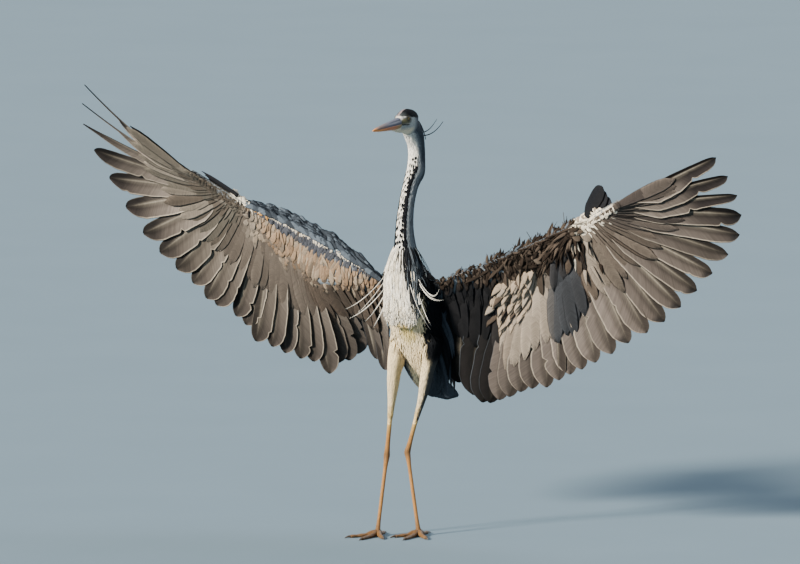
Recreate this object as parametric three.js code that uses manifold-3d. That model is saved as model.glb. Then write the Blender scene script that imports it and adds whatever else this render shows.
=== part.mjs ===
// Grey heron, life size, standing with its neck up and both wings raised and spread.
// Millimetres, +Z up. The bird faces -Y, its left side is +X and its soles stand at Z = 0.
import * as THREE from 'three'
import Module from 'manifold-3d'

const wasm = await Module()
wasm.setup()

// ---- driving dimensions ----
const GAP = 0.35 // clearance left between neighbouring pieces
const VANE_THICKNESS = 1.2
const VANE_TWIST = THREE.MathUtils.degToRad(8) // lets one vane slide under the next
const COVERT_REACH = 0.4 // how far the small feathers cover each flight feather
const VANE_SAG = 6 // how far a flight feather bends up between its ends
const FREE_FEATHERS = 3 // the outermost stand apart from their neighbours
const ALULA_WIDTH = 22
const FINGER_HALF = 3 // half thickness of the arm at the end of the hand
const SHOULDER_HALF = 12 // and at the shoulder
const PRIMARIES = 10
const INNER_FEATHERS = 16 // secondaries and tertials together

const HEAD_CENTRE = v(4, -64, 886)
const HEAD_YAW = THREE.MathUtils.degToRad(5) // towards the bird's right
const HEAD_PITCH = THREE.MathUtils.degToRad(2) // bill a little below level
const BILL_BASE = 25 // from the head centre forwards
const BILL_LENGTH = 118
const BILL_TAPER = 0.62 // under 1 the bill stays deep until near its tip
const UPPER_BILL_HEIGHT = 13
const LOWER_BILL_HEIGHT = 11
const EYE_RADIUS = 6.4
const EYE_AHEAD = 2.5 // eye centre from the head's centre
const EYE_SPREAD = 12.6
const EYE_RISE = 7.2

const SHANK_RADIUS = 4.6
const ANKLE_RADIUS = 6.6
const TARSUS_RADIUS = 4
const FOOT_HEIGHT = 12 // where the toes meet, above the floor

// The four toes: direction from straight ahead towards the bird's outside, and length with no claw.
const TOES = [
  { name: 'inner', turn: -32, reach: 60 },
  { name: 'middle', turn: 2, reach: 82 },
  { name: 'outer', turn: 36, reach: 68 },
  { name: 'hind', turn: 176, reach: 42 }
]
const CLAW_LENGTH = 15

// Each wing: its joints, the tip of some of its flight feathers, counted from the outermost
// primary (0) to the innermost tertial (25), and how many of the inner ones are tertials.
const WINGS = {
  right: {
    shoulder: v(-40, -10, 530),
    front: v(-44, -34, 538),
    elbow: v(-231, 10, 532),
    wrist: v(-382, -15, 683),
    finger: v(-487, -55, 754),
    slack: 10, // how far its front skin bulges ahead of a straight line
    fingerWidth: 32,
    fingerBow: -26, // the free fingers curl up towards their tips
    tertials: 4,
    tips: [
      [0, -715, -90, 941], [2, -751, -12, 849], [4, -726, 72, 727], [6, -661, 104, 607],
      [9, -553, 114, 504], [13.5, -419, 116, 402], [18, -273, 128, 339], [21.3, -190, 146, 350],
      [22.8, -168, 146, 378], [25, -112, 118, 331]
    ],
    alula: [v(-391, -22, 710), v(-468, -37, 760)]
  },
  left: {
    shoulder: v(40, -10, 530),
    front: v(44, -34, 538),
    elbow: v(231, 11, 542),
    wrist: v(396, -5, 678),
    finger: v(509.5, -105, 731),
    slack: -9,
    fingerWidth: 50,
    fingerBow: 0,
    tertials: 3,
    tips: [
      [0, 767, -205, 851], [2, 802, -172, 770], [4, 782, -105, 680], [6, 693, -32, 588],
      [9, 565, 18, 476], [12.8, 414, 24, 386], [16.6, 305, 28, 332], [20.5, 192, 36, 297],
      [23, 143, 50, 282], [25, 78, 72, 320]
    ],
    alula: [v(407, -17, 690), v(455, -62, 765)]
  }
}

// Each leg: where it leaves the body, two points down the feathered thigh, the bare shank's
// start, the ankle and the joint of the toes.
const LEGS = {
  right: {
    hip: v(-38, 22, 408),
    thigh: v(-42, 0, 349),
    calf: v(-48, 2, 291),
    bare: v(-54, 5, 242),
    ankle: v(-64, 12, 165),
    foot: v(-60, -49, FOOT_HEIGHT)
  },
  left: {
    hip: v(44, 20, 418),
    thigh: v(37, 0, 366),
    calf: v(21, 4, 294),
    bare: v(4, 8, 244),
    ankle: v(-18, 15, 174),
    foot: v(19, -15, FOOT_HEIGHT)
  }
}

// ---- colours ----
const coat = (name, colour, roughness = 0.85) =>
  new THREE.MeshStandardMaterial({ name, color: colour, roughness, metalness: 0 })
const WHITE = coat('white feathers', 0xe9e4d8)
const CREAM = coat('cream feathers', 0xe3d6b4)
const GREY = coat('grey feathers', 0x8b919a)
const UNDERWING = coat('brown grey underwing', 0x85786c)
const BLACK = coat('black feathers', 0x24272d, 0.7)
const BARE_LEG = coat('bare leg skin', 0xb07c3e, 0.55)
const CLAW_HORN = coat('claw horn', 0x3b322b, 0.45)
const UPPER_BILL = coat('upper bill horn', 0x8b6a45, 0.4)
const LOWER_BILL = coat('lower bill horn', 0xd98a35, 0.4)
const EYE_GLOSS = coat('yellow eye', 0xd9a92b, 0.08)

// ---- small tools ----
function v(x, y, z) {
  return new THREE.Vector3(x, y, z)
}

function between(a, b, t) {
  return a.clone().lerp(b, t)
}

function onward(point, direction, distance) {
  return point.clone().addScaledVector(direction, distance)
}

// A smooth curve through rows of [place, x, y, z], read at any place along it.
function along(rows, place) {
  const points = rows.map(([, x, y, z]) => v(x, y, z))
  const last = rows.length - 1
  let k = 0
  while (k < last - 1 && place > rows[k + 1][0]) k += 1
  const slope = i => {
    const before = Math.max(i - 1, 0)
    const after = Math.min(i + 1, last)
    return points[after].clone().sub(points[before]).divideScalar(rows[after][0] - rows[before][0])
  }
  const span = rows[k + 1][0] - rows[k][0]
  const t = (place - rows[k][0]) / span
  return points[k].clone().multiplyScalar(2 * t ** 3 - 3 * t ** 2 + 1)
    .addScaledVector(slope(k), span * (t ** 3 - 2 * t ** 2 + t))
    .addScaledVector(points[k + 1], 3 * t ** 2 - 2 * t ** 3)
    .addScaledVector(slope(k + 1), span * (t ** 3 - t ** 2))
}

// ---- solids from rings ----
// Rings of points, one after another along a piece, are skinned and closed at both ends. The
// point i of a ring lies across from its point n - i, so an end is closed by a strip.
function skinned(rings) {
  const count = rings[0].length
  const faces = []
  for (let k = 0; k < rings.length - 1; k += 1) {
    for (let i = 0; i < count; i += 1) {
      const j = (i + 1) % count
      const a = k * count
      const b = a + count
      faces.push([a + i, a + j, b + j], [a + i, b + j, b + i])
    }
  }
  const end = (rings.length - 1) * count
  for (const [a, b, c] of strip(count)) {
    faces.push([c, b, a], [end + a, end + b, end + c])
  }
  return solid(rings.flat(), faces)
}

function strip(count) {
  const faces = [[0, 1, count - 1]]
  let i = 1
  let j = count - 1
  while (j - i > 1) {
    if (j - i === 2) {
      faces.push([i, i + 1, j])
    } else {
      faces.push([i, i + 1, j - 1], [i, j - 1, j])
    }
    i += 1
    j -= 1
  }
  return faces
}

// A closed solid from points and faces, turned so that its faces point out.
function solid(points, faces) {
  const volume = faces.reduce((sum, [a, b, c]) =>
    sum + points[a].dot(points[b].clone().cross(points[c])), 0)
  const outward = volume < 0 ? faces.map(([a, b, c]) => [a, c, b]) : faces
  return new wasm.Manifold(new wasm.Mesh({
    numProp: 3,
    vertProperties: Float32Array.from(points.flatMap(p => p.toArray())),
    triVerts: Uint32Array.from(outward.flat())
  }))
}

function joined(solids) {
  return solids.reduce((whole, next) => whole.add(next))
}

function cutBy(whole, cutters) {
  return cutters.reduce((rest, cutter) => rest.subtract(cutter), whole)
}

// Elliptical sections at each station: its place, its half width along the lateral direction
// and its half depth across that. floor keeps every point at or above that height.
function loft(stations, { sides = 12, lateral = v(1, 0, 0), grow = 0, floor = -Infinity } = {}) {
  const last = stations.length - 1
  const rings = stations.map(({ at, wide, deep = wide }, k) => {
    const ahead = stations[Math.min(k + 1, last)].at.clone()
      .sub(stations[Math.max(k - 1, 0)].at).normalize()
    const across = lateral.clone().addScaledVector(ahead, -lateral.dot(ahead)).normalize()
    const through = ahead.clone().cross(across)
    const outwards = k === 0 ? -grow : k === last ? grow : 0
    return Array.from({ length: sides }, (_, i) => {
      const angle = 2 * Math.PI * i / sides
      const point = onward(at, ahead, outwards)
        .addScaledVector(across, (wide + grow) * Math.cos(angle))
        .addScaledVector(through, (deep + grow) * Math.sin(angle))
      point.z = Math.max(point.z, floor)
      return point
    })
  })
  return skinned(rings)
}

// A point of a feather's shaft, which leaves the straight line from root to tip by bow towards
// its leading side and by sag towards its upper side.
function shaft({ root, tip, leading, normal, bow = 0, sag = 0 }, t) {
  const away = 4 * t * (1 - t)
  return between(root, tip, t).addScaledVector(leading, bow * away).addScaledVector(normal, sag * away)
}

// One vane: a thin blade along a feather's shaft from the part start of it to its tip. outline
// gives its width by part of length.
function vane({ root, tip, leading, normal, width, start, outline, bow = 0, sag = 0, grow = 0 }) {
  const direction = tip.clone().sub(root).normalize()
  const side = leading.clone().multiplyScalar(Math.cos(VANE_TWIST))
    .addScaledVector(normal, Math.sin(VANE_TWIST))
  const up = normal.clone().multiplyScalar(Math.cos(VANE_TWIST))
    .addScaledVector(leading, -Math.sin(VANE_TWIST))
  const rings = outline.map(([part, lead, trail], k) => {
    const t = start + (1 - start) * part
    const end = k === 0 ? -grow : k === outline.length - 1 ? grow : 0
    const middle = onward(shaft({ root, tip, leading, normal, bow, sag }, t), direction, end)
    const half = VANE_THICKNESS / 2 + grow
    const front = onward(middle, side, lead * width + grow)
    const back = onward(middle, side, -trail * width - grow)
    return [
      onward(front, up, -half),
      onward(front, up, half),
      onward(back, up, half),
      onward(back, up, -half)
    ]
  })
  return skinned(rings)
}

// Part of length, leading width and trailing width, each as a share of the whole width.
const ROUNDED = [[0, 0.3, 0.62], [0.45, 0.32, 0.66], [0.78, 0.3, 0.6], [0.93, 0.2, 0.42], [1, 0.05, 0.08]]
const FINGERED = [[0, 0.16, 0.7], [0.3, 0.16, 0.62], [0.55, 0.16, 0.42], [0.85, 0.14, 0.3], [1, 0.04, 0.05]]

// ---- wings ----
// Every flight feather of a wing, from the outermost inwards, with the wing's own directions
// there: leading points outboard across the feather and normal points to the upper side.
function flightFeathers(wing) {
  const bone = index => {
    const number = PRIMARIES - index
    if (number > 0) return between(wing.wrist, wing.finger, (number - 0.5) / (PRIMARIES - 0.2))
    const secondaries = INNER_FEATHERS - wing.tertials
    const inward = index - PRIMARIES
    if (inward < secondaries) return between(wing.wrist, wing.elbow, (inward + 0.5) / secondaries)
    return between(wing.elbow, wing.shoulder, (inward - secondaries + 0.5) / (wing.tertials + 1))
  }
  const fold = wing.elbow.clone().sub(wing.wrist)
    .dot(wing.front.clone().sub(wing.wrist)) / wing.front.distanceToSquared(wing.wrist)
  const count = PRIMARIES + INNER_FEATHERS
  return Array.from({ length: count }, (_, index) => {
    const root = bone(index)
    const tip = along(wing.tips, index)
    const outer = Math.max(index - 1, 0)
    const inner = Math.min(index + 1, count - 1)
    const span = along(wing.tips, outer).sub(along(wing.tips, inner)).add(bone(outer)).sub(bone(inner))
    const length = tip.clone().sub(root).normalize()
    const normal = span.clone().cross(length).normalize()
    if (normal.y < 0) normal.negate()
    const leading = length.clone().cross(normal).normalize()
    if (leading.dot(span) < 0) leading.negate()
    const bow = wing.fingerBow * Math.max(1 - index / 5, 0)
    const lead = leadingEdge(wing, index, root, fold)
    return { index, root, tip, normal, leading, bow, sag: VANE_SAG, lead }
  })
}

// The wing's front edge level with a feather: the skin stretched from shoulder to wrist, and
// the front of the hand beyond it.
function leadingEdge(wing, index, root, fold) {
  if (index < PRIMARIES) {
    const hand = wing.finger.clone().sub(wing.wrist).normalize()
    const forwards = v(0, 0, 1).addScaledVector(hand, -hand.z).normalize()
    return onward(root, forwards, 11)
  }
  const edge = onward(wing.wrist, v(0, 0, 1), 12)
  const secondaries = INNER_FEATHERS - wing.tertials
  const inward = index - PRIMARIES
  const share = inward < secondaries
    ? fold * (inward + 0.5) / secondaries
    : fold + (1 - fold) * (inward - secondaries + 0.5) / (wing.tertials + 1)
  return between(edge, wing.front, share)
    .add(v(0, 0.5, 0.85).multiplyScalar(wing.slack * Math.sin(Math.PI * share)))
}

// A section of the arm with the small feathers that cover the roots, along one feather.
function armSection(feather, grow) {
  const { index, root, normal, lead } = feather
  const inwards = (index / (PRIMARIES + INNER_FEATHERS)) ** 1.3
  const bone = THREE.MathUtils.lerp(FINGER_HALF, SHOULDER_HALF, inwards)
  const end = shaft(feather, COVERT_REACH)
  const chord = end.clone().sub(lead).normalize()
  const pairs = [
    [between(lead, root, 0.4), bone * 0.6],
    [root, bone],
    [shaft(feather, COVERT_REACH / 2), bone * 0.3 + 1.5],
    [onward(end, chord, grow), 1.4]
  ]
  const upper = pairs.map(([point, half]) => onward(point, normal, half + grow))
  const lower = pairs.map(([point, half]) => onward(point, normal, -half - grow)).reverse()
  return [onward(lead, chord, -grow), ...upper, ...lower]
}

function blend(ringA, ringB, t) {
  return ringA.map((point, i) => between(point, ringB[i], t))
}

// Vanes of the feathers first to last, widest where the wing needs the cover.
function vanes(wing, feathers, first, last, grow) {
  return feathers.slice(first, last + 1).map(feather => {
    const free = feather.index < FREE_FEATHERS
    return vane({
      ...feather,
      width: free ? wing.fingerWidth : 46 + 0.3 * feather.index,
      start: COVERT_REACH - 0.07,
      outline: free ? FINGERED : ROUNDED,
      grow
    })
  })
}

// The arm between two cuts, each halfway between two feathers.
function arm(feathers, first, last, grow) {
  const open = 0.012 * (grow > 0 ? 0 : 1)
  const every = feathers.slice(first, last + 1)
  const rings = every.filter((_, i) => i % 2 === 0 || i === every.length - 1)
    .map(feather => armSection(feather, grow))
  if (first > 0) {
    const outside = armSection(feathers[first - 1], grow)
    rings.unshift(blend(outside, rings[0], 0.5 + open))
  }
  if (last < feathers.length - 1) {
    const inside = armSection(feathers[last + 1], grow)
    rings.push(blend(rings[rings.length - 1], inside, 0.5 - open))
  }
  return rings
}

function wingPieces(wing, trunkCutter) {
  const feathers = flightFeathers(wing)
  const elbow = PRIMARIES + INNER_FEATHERS - wing.tertials
  const spans = {
    hand: [0, PRIMARIES - 1],
    forearm: [PRIMARIES, elbow - 1],
    upper: [elbow, feathers.length - 1]
  }
  const shoulderSection = grow => armSection({
    index: feathers.length,
    root: wing.shoulder,
    tip: onward(wing.shoulder, v(Math.sign(wing.shoulder.x) * 0.25, 0.6, -0.9), 160),
    normal: feathers[feathers.length - 1].normal,
    leading: feathers[feathers.length - 1].leading,
    lead: wing.front
  }, grow)
  const armOf = (part, grow = 0) => {
    const rings = arm(feathers, ...spans[part], grow)
    if (part === 'upper') rings.push(shoulderSection(grow))
    return skinned(rings)
  }
  const vanesOf = (part, grow = 0) => vanes(wing, feathers, ...spans[part], grow)
  const feathered = (part, cutters) => armOf(part).add(cutBy(joined(vanesOf(part)), cutters))
  const hand = feathered('hand', [armOf('forearm', GAP)])
  const forearm = feathered('forearm', [
    armOf('hand', GAP), armOf('upper', GAP), ...vanesOf('hand', GAP)
  ])
  const upper = feathered('upper', [armOf('forearm', GAP), ...vanesOf('forearm', GAP)])
  return {
    hand,
    forearm,
    upper: cutBy(upper, [trunkCutter]),
    alula: alula(wing, feathers[PRIMARIES - 2], armOf('hand', GAP))
  }
}

// The alula: two stiff feathers on the thumb, in front of the wrist.
function alula(wing, { normal }, handCutter) {
  const [root, tip] = wing.alula
  const leading = tip.clone().sub(root).cross(normal).normalize()
  if (leading.z < 0) leading.negate()
  const quill = (from, to) => vane({
    root: from, tip: to, normal, leading, width: ALULA_WIDTH, start: 0, outline: ROUNDED, bow: 3
  })
  const second = onward(onward(tip, leading, -14), normal, 3)
  return cutBy(quill(root, tip).add(quill(onward(root, normal, 1), second)), [handCutter])
}

// ---- trunk, neck and tail ----
// Stations of the trunk in its midplane: Y, Z, half width, half depth.
const trunkStations = [
  [-48, 584, 26, 12], [-38, 564, 56, 32], [-20, 526, 66, 50], [4, 484, 64, 60], [27, 446, 63, 63],
  [49, 408, 60, 61], [71, 370, 55, 53], [91, 334, 46, 42], [108, 304, 30, 27], [120, 283, 11, 11]
].map(([y, z, wide, deep]) => ({ at: v(0, y, z), wide, deep }))

// Stations of the neck from the skull down: X, Y, Z, half width, half depth.
const neckStations = [
  [4, -34, 880, 14, 15], [5, -10, 862, 21, 27], [5, 6, 836, 19, 23], [4, 13, 797, 19, 22],
  [5, 4, 771, 20.5, 24], [2.5, -9, 756, 17.5, 20.5], [-1, -28, 714, 17, 20],
  [-1, -42, 671, 19, 22], [0, -46, 641, 21.5, 25], [0, -43, 613, 26.5, 30], [0, -42, 590, 35, 37],
  [0, -44, 562, 45, 42], [0, -50, 530, 48, 34], [-1, -54, 500, 47, 24], [-3, -56, 472, 42, 14],
  [-5, -53, 450, 30, 5]
].map(([x, y, z, wide, deep]) => ({ at: v(x, y, z), wide, deep }))

// The neck is parted by a thin cut at each of these stations, top first.
const NECK_CUTS = [6, 10]

function neckLengths() {
  const slabs = NECK_CUTS.map(index => {
    const { at } = neckStations[index]
    const down = neckStations[index + 1].at.clone().sub(neckStations[index - 1].at).normalize()
    return loft([
      { at: onward(at, down, -GAP / 2), wide: 70 },
      { at: onward(at, down, GAP / 2), wide: 70 }
    ], { sides: 4 })
  })
  const height = part => part.boundingBox().max[2]
  return cutBy(loft(neckStations), slabs).decompose().sort((a, b) => height(b) - height(a))
}

// Long narrow breast plumes: root, a point they bend through, and tip.
const breastPlumes = [
  [v(-34, -66, 560), v(-66, -92, 508), v(-121, -78, 484)],
  [v(-30, -70, 540), v(-60, -94, 488), v(-111, -84, 465)],
  [v(-22, -76, 520), v(-44, -90, 470), v(-72, -84, 446)],
  [v(-6, -80, 510), v(-12, -88, 466), v(-18, -82, 434)],
  [v(12, -78, 520), v(22, -88, 470), v(26, -80, 436)],
  [v(26, -72, 545), v(48, -92, 490), v(64, -78, 454)],
  [v(30, -70, 550), v(58, -88, 478), v(72, -70, 431)],
  [v(38, -62, 565), v(66, -82, 530), v(86, -68, 522)],
  [v(36, -60, 556), v(72, -84, 522), v(97, -70, 509)]
]

function plume(points, radius, grow = 0) {
  const path = new THREE.QuadraticBezierCurve3(...points)
  const stations = [0, 0.35, 0.7, 1].map(t => ({
    at: path.getPoint(t),
    wide: radius * (1 - 0.75 * t),
    deep: radius * 0.6 * (1 - 0.6 * t)
  }))
  return loft(stations, { sides: 4, grow })
}

function lowerNeck(bib, trunkCutter) {
  return cutBy(joined([bib, ...breastPlumes.map(points => plume(points, 3.4))]), [trunkCutter])
}

// The tail: a narrow fan of stiff feathers on a short root.
const TAIL_ROOT = v(0, 84, 352)
const TAIL_TIP = v(0, 196, 268)
const TAIL_FEATHERS = 5
const TAIL_SPREAD = 20 // millimetres between the tips of two of its feathers

function tail(trunkCutter) {
  const length = TAIL_TIP.clone().sub(TAIL_ROOT)
  const normal = length.clone().cross(v(-1, 0, 0)).normalize()
  const fan = Array.from({ length: TAIL_FEATHERS }, (_, i) => {
    const out = i - (TAIL_FEATHERS - 1) / 2
    const side = Math.sign(out) || 1
    return vane({
      root: onward(TAIL_ROOT, v(1, 0, 0), out * 4).addScaledVector(normal, -Math.abs(out) * 2.2),
      tip: onward(TAIL_TIP, v(1, 0, 0), out * TAIL_SPREAD)
        .addScaledVector(normal, -Math.abs(out) * 2.2)
        .addScaledVector(length, -Math.abs(out) * 0.02),
      leading: v(side, 0, 0),
      normal,
      width: 34,
      start: 0,
      outline: ROUNDED
    })
  })
  const rump = loft([
    { at: onward(TAIL_ROOT, length, -0.15), wide: 20, deep: 14 },
    { at: onward(TAIL_ROOT, length, 0.25), wide: 34, deep: 16 },
    { at: onward(TAIL_ROOT, length, 0.55), wide: 28, deep: 9 },
    { at: onward(TAIL_ROOT, length, 0.75), wide: 10, deep: 2.5 }
  ], { sides: 10 })
  return cutBy(joined([rump, ...fan]), [trunkCutter])
}

// ---- head ----
const ahead = v(
  -Math.sin(HEAD_YAW) * Math.cos(HEAD_PITCH),
  -Math.cos(HEAD_YAW) * Math.cos(HEAD_PITCH),
  -Math.sin(HEAD_PITCH)
)
const leftward = v(Math.cos(HEAD_YAW), -Math.sin(HEAD_YAW), 0)
const upward = ahead.clone().cross(leftward).normalize()
const headPoint = (forwards, left, up) =>
  onward(onward(onward(HEAD_CENTRE, ahead, forwards), leftward, left), upward, up)

// Stations of the skull with its feathers: forwards, up, half width, half height.
const headStations = [
  [-52, 4, 7, 7], [-46, 3, 13.5, 14.5], [-34, 0, 18.5, 23.5], [-18, -3, 21, 29.5],
  [-2, -2, 20.5, 27], [11, -2, 17, 21], [20, -1.7, 13, 15.3], [BILL_BASE, -1, 10.7, 12.7]
].map(([forwards, up, wide, deep]) => ({ at: headPoint(forwards, 0, up), wide, deep }))

function eye(side, grow = 0) {
  const centre = headPoint(EYE_AHEAD, side * EYE_SPREAD, EYE_RISE)
  const ball = [-0.95, -0.6, 0, 0.6, 0.95].map(t => ({
    at: onward(centre, leftward, side * EYE_RADIUS * t * 0.98),
    wide: EYE_RADIUS * Math.sqrt(1 - t * t) + 0.05
  }))
  return loft(ball, { sides: 8, lateral: ahead, grow })
}

function head() {
  const skull = loft(headStations, { sides: 14, lateral: leftward })
  return cutBy(skull, [eye(1, GAP), eye(-1, GAP)])
}

// Each half of the bill tapers to the tip and has a flat side where the two halves close.
function bill(upper) {
  const side = upper ? 1 : -1
  const length = upper ? BILL_LENGTH : BILL_LENGTH - 4
  const rings = [0, 0.25, 0.5, 0.75, 0.92, 1].map(t => {
    const taper = (1 - t) ** BILL_TAPER
    const height = 0.5 + (upper ? UPPER_BILL_HEIGHT : LOWER_BILL_HEIGHT) * taper
    const wide = 0.8 + 8.4 * taper
    const drop = -2.2 - 1.2 * t
    const row = [[-1, 0.03], [-0.92, 0.45], [-0.5, 0.88], [0, 1], [0.5, 0.88], [0.92, 0.45], [1, 0.03]]
    const outline = row.map(([across, up]) =>
      headPoint(BILL_BASE + GAP + t * length, across * wide, drop + side * (GAP / 2 + height * up)))
    return [outline[3], ...outline.slice(4), ...outline.slice(0, 3)]
  })
  return skinned(rings)
}

// Long thin plumes from the nape: root, a point they bend through, and tip.
const napePlumes = [
  [v(5, 34, 854), v(9, 70, 850), v(12, 107, 876)],
  [v(8, 33, 848), v(16, 76, 842), v(22, 117, 870)]
]

// ---- legs ----
function thigh({ hip, thigh: top, calf, bare }, cutters) {
  const stations = [
    { at: hip, wide: 20, deep: 30 },
    { at: between(hip, top, 0.6), wide: 19, deep: 27 },
    { at: top, wide: 15.5, deep: 20 },
    { at: between(top, calf, 0.5), wide: 14, deep: 17 },
    { at: calf, wide: 10.5, deep: 12.5 },
    { at: between(calf, bare, 0.5), wide: 8, deep: 9 },
    { at: onward(bare, v(0, 0, 1), GAP), wide: 5.6, deep: 6 }
  ]
  return cutBy(loft(stations, { sides: 10 }), cutters)
}

function shank({ bare, ankle }, cutters) {
  return cutBy(loft([
    { at: bare, wide: SHANK_RADIUS, deep: SHANK_RADIUS + 0.6 },
    { at: between(bare, ankle, 0.6), wide: SHANK_RADIUS, deep: SHANK_RADIUS + 0.4 },
    { at: between(bare, ankle, 0.88), wide: ANKLE_RADIUS * 0.85, deep: ANKLE_RADIUS },
    { at: ankle, wide: ANKLE_RADIUS, deep: ANKLE_RADIUS * 1.2 }
  ], { sides: 10 }), cutters)
}

function tarsus({ ankle, foot }, grow = 0) {
  const down = foot.clone().sub(ankle).normalize()
  return loft([
    { at: onward(ankle, down, GAP), wide: ANKLE_RADIUS, deep: ANKLE_RADIUS * 1.2 },
    { at: between(ankle, foot, 0.07), wide: ANKLE_RADIUS * 0.85, deep: ANKLE_RADIUS },
    { at: between(ankle, foot, 0.18), wide: TARSUS_RADIUS, deep: TARSUS_RADIUS + 0.8 },
    { at: between(ankle, foot, 0.85), wide: TARSUS_RADIUS, deep: TARSUS_RADIUS + 0.4 },
    { at: foot, wide: TARSUS_RADIUS + 1.6, deep: TARSUS_RADIUS + 1.6 }
  ], { sides: 10, grow })
}

// A toe runs from the joint down to the floor and along it, its underside flat on the floor.
function toeDirection(turn, side) {
  const angle = THREE.MathUtils.degToRad(turn) * side
  return v(Math.sin(angle), -Math.cos(angle), 0)
}

function toe(foot, { turn, reach }, side) {
  const direction = toeDirection(turn, side)
  const place = (distance, height) => onward(v(foot.x, foot.y, height), direction, distance)
  const lateral = direction.clone().cross(v(0, 0, 1))
  return loft([
    { at: place(-4, 9), wide: 5.5, deep: 6 },
    { at: place(10, 8), wide: 6, deep: 6.4 },
    { at: place(reach * 0.45, 3.8), wide: 5, deep: 4.6 },
    { at: place(reach, 3), wide: 3.4, deep: 3.6 }
  ], { sides: 6, lateral, floor: 0 })
}

function foot(leg, side, tarsusCutter) {
  return cutBy(joined(TOES.map(each => toe(leg.foot, each, side))), [tarsusCutter])
}

function claw(leg, { turn, reach, name }, side) {
  const direction = toeDirection(turn, side)
  const length = name === 'hind' ? CLAW_LENGTH * 1.3 : CLAW_LENGTH
  const place = (distance, height) => onward(v(leg.foot.x, leg.foot.y, height), direction, distance)
  const lateral = direction.clone().cross(v(0, 0, 1))
  return loft([
    { at: place(reach + GAP, 2.4), wide: 2.2, deep: 2.7 },
    { at: place(reach + length * 0.6, 1.6), wide: 1.5, deep: 1.8 },
    { at: place(reach + length, 0.4), wide: 0.4, deep: 0.5 }
  ], { sides: 5, lateral, floor: 0 })
}

// ---- the bird ----
const heron = new THREE.Group()

// The largest body of a solid becomes a named mesh: cutting can leave crumbs beside it.
function add(name, whole, material) {
  const bodies = whole.decompose()
  const body = bodies.reduce((best, next) => next.volume() > best.volume() ? next : best)
  const { vertProperties, triVerts } = body.getMesh()
  const geometry = new THREE.BufferGeometry()
  geometry.setAttribute('position', new THREE.BufferAttribute(Float32Array.from(vertProperties), 3))
  geometry.setIndex(new THREE.BufferAttribute(Uint32Array.from(triVerts), 1))
  geometry.computeVertexNormals()
  const mesh = new THREE.Mesh(geometry, material.clone())
  mesh.name = name
  heron.add(mesh)
}

const trunk = loft(trunkStations, { sides: 14 })
const trunkCutter = loft(trunkStations, { sides: 14, grow: GAP })
add('trunk', trunk, GREY)

const wings = Object.fromEntries(Object.entries(WINGS).map(([name, wing]) =>
  [name, wingPieces(wing, trunkCutter)]))
for (const [name, pieces] of Object.entries(wings)) {
  add(`wing_${name}_upper_arm`, pieces.upper, UNDERWING)
  add(`wing_${name}_forearm`, pieces.forearm, UNDERWING)
  add(`wing_${name}_hand`, pieces.hand, UNDERWING)
  add(`wing_${name}_alula`, pieces.alula, BLACK)
}

const [neckUpper, neckMiddle, neckLower] = neckLengths()
const skullCutter = loft(headStations, { sides: 14, lateral: leftward, grow: GAP })
add('neck_upper', cutBy(neckUpper, [skullCutter]), GREY)
add('neck_middle', neckMiddle, GREY)
add('neck_lower', lowerNeck(neckLower, trunkCutter), WHITE)
add('head', head(), WHITE)
add('eye_left', eye(1), EYE_GLOSS)
add('eye_right', eye(-1), EYE_GLOSS)
add('bill_upper', cutBy(bill(true), [skullCutter]), UPPER_BILL)
add('bill_lower', cutBy(bill(false), [skullCutter]), LOWER_BILL)
const neckCutter = loft(neckStations.slice(0, 5), { grow: GAP })
napePlumes.forEach((points, i) => {
  add(`nape_plume_${i + 1}`, cutBy(plume(points, 2.2), [skullCutter, neckCutter]), BLACK)
})
add('tail', tail(trunkCutter), GREY)

for (const [name, leg] of Object.entries(LEGS)) {
  const side = name === 'left' ? 1 : -1
  add(`thigh_${name}`, thigh(leg, [trunkCutter]), CREAM)
  add(`shank_${name}`, shank(leg, [tarsus(leg, GAP)]), BARE_LEG)
  add(`tarsus_${name}`, tarsus(leg), BARE_LEG)
  add(`foot_${name}`, foot(leg, side, tarsus(leg, GAP)), BARE_LEG)
  for (const each of TOES) add(`claw_${name}_${each.name}`, claw(leg, each, side), CLAW_HORN)
}

// The origin is under the middle of the whole bird, on the floor.
const box = new THREE.Box3().setFromObject(heron)
const middle = box.getCenter(v(0, 0, 0))
heron.position.set(-middle.x, -middle.y, -box.min.z)

export default heron
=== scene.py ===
import math

import bpy
import numpy as np
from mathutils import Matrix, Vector
from mathutils.bvhtree import BVHTree


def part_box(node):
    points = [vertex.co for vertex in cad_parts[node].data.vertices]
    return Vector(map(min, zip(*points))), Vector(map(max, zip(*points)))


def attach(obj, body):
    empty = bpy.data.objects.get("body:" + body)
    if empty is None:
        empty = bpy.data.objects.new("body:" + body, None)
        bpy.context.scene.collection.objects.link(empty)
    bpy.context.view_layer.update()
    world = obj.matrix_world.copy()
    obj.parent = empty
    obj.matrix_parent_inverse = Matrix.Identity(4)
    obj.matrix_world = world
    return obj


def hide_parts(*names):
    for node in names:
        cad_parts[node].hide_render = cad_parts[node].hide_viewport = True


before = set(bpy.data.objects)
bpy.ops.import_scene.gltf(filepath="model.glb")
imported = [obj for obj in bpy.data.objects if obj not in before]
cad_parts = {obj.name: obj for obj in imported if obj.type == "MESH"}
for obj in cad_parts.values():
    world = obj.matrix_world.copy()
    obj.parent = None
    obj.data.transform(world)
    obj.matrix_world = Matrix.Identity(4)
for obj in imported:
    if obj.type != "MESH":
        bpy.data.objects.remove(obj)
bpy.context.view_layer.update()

# Lengths are in millimetres in the bird's own frame: it faces -Y, its left is +X, X = 0 is its
# midplane, Y = 0 the line through its shoulders and Z = 0 the floor. A mesh is made in metres.
BREAST_AHEAD = 66.1  # from the shoulders' line forwards to the front of the trunk
trunk_low, trunk_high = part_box("trunk")
BIRD_PLACE = np.array([
    (trunk_low.x + trunk_high.x) / 2,
    trunk_low.y + BREAST_AHEAD / 1000,
    0,
])


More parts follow.
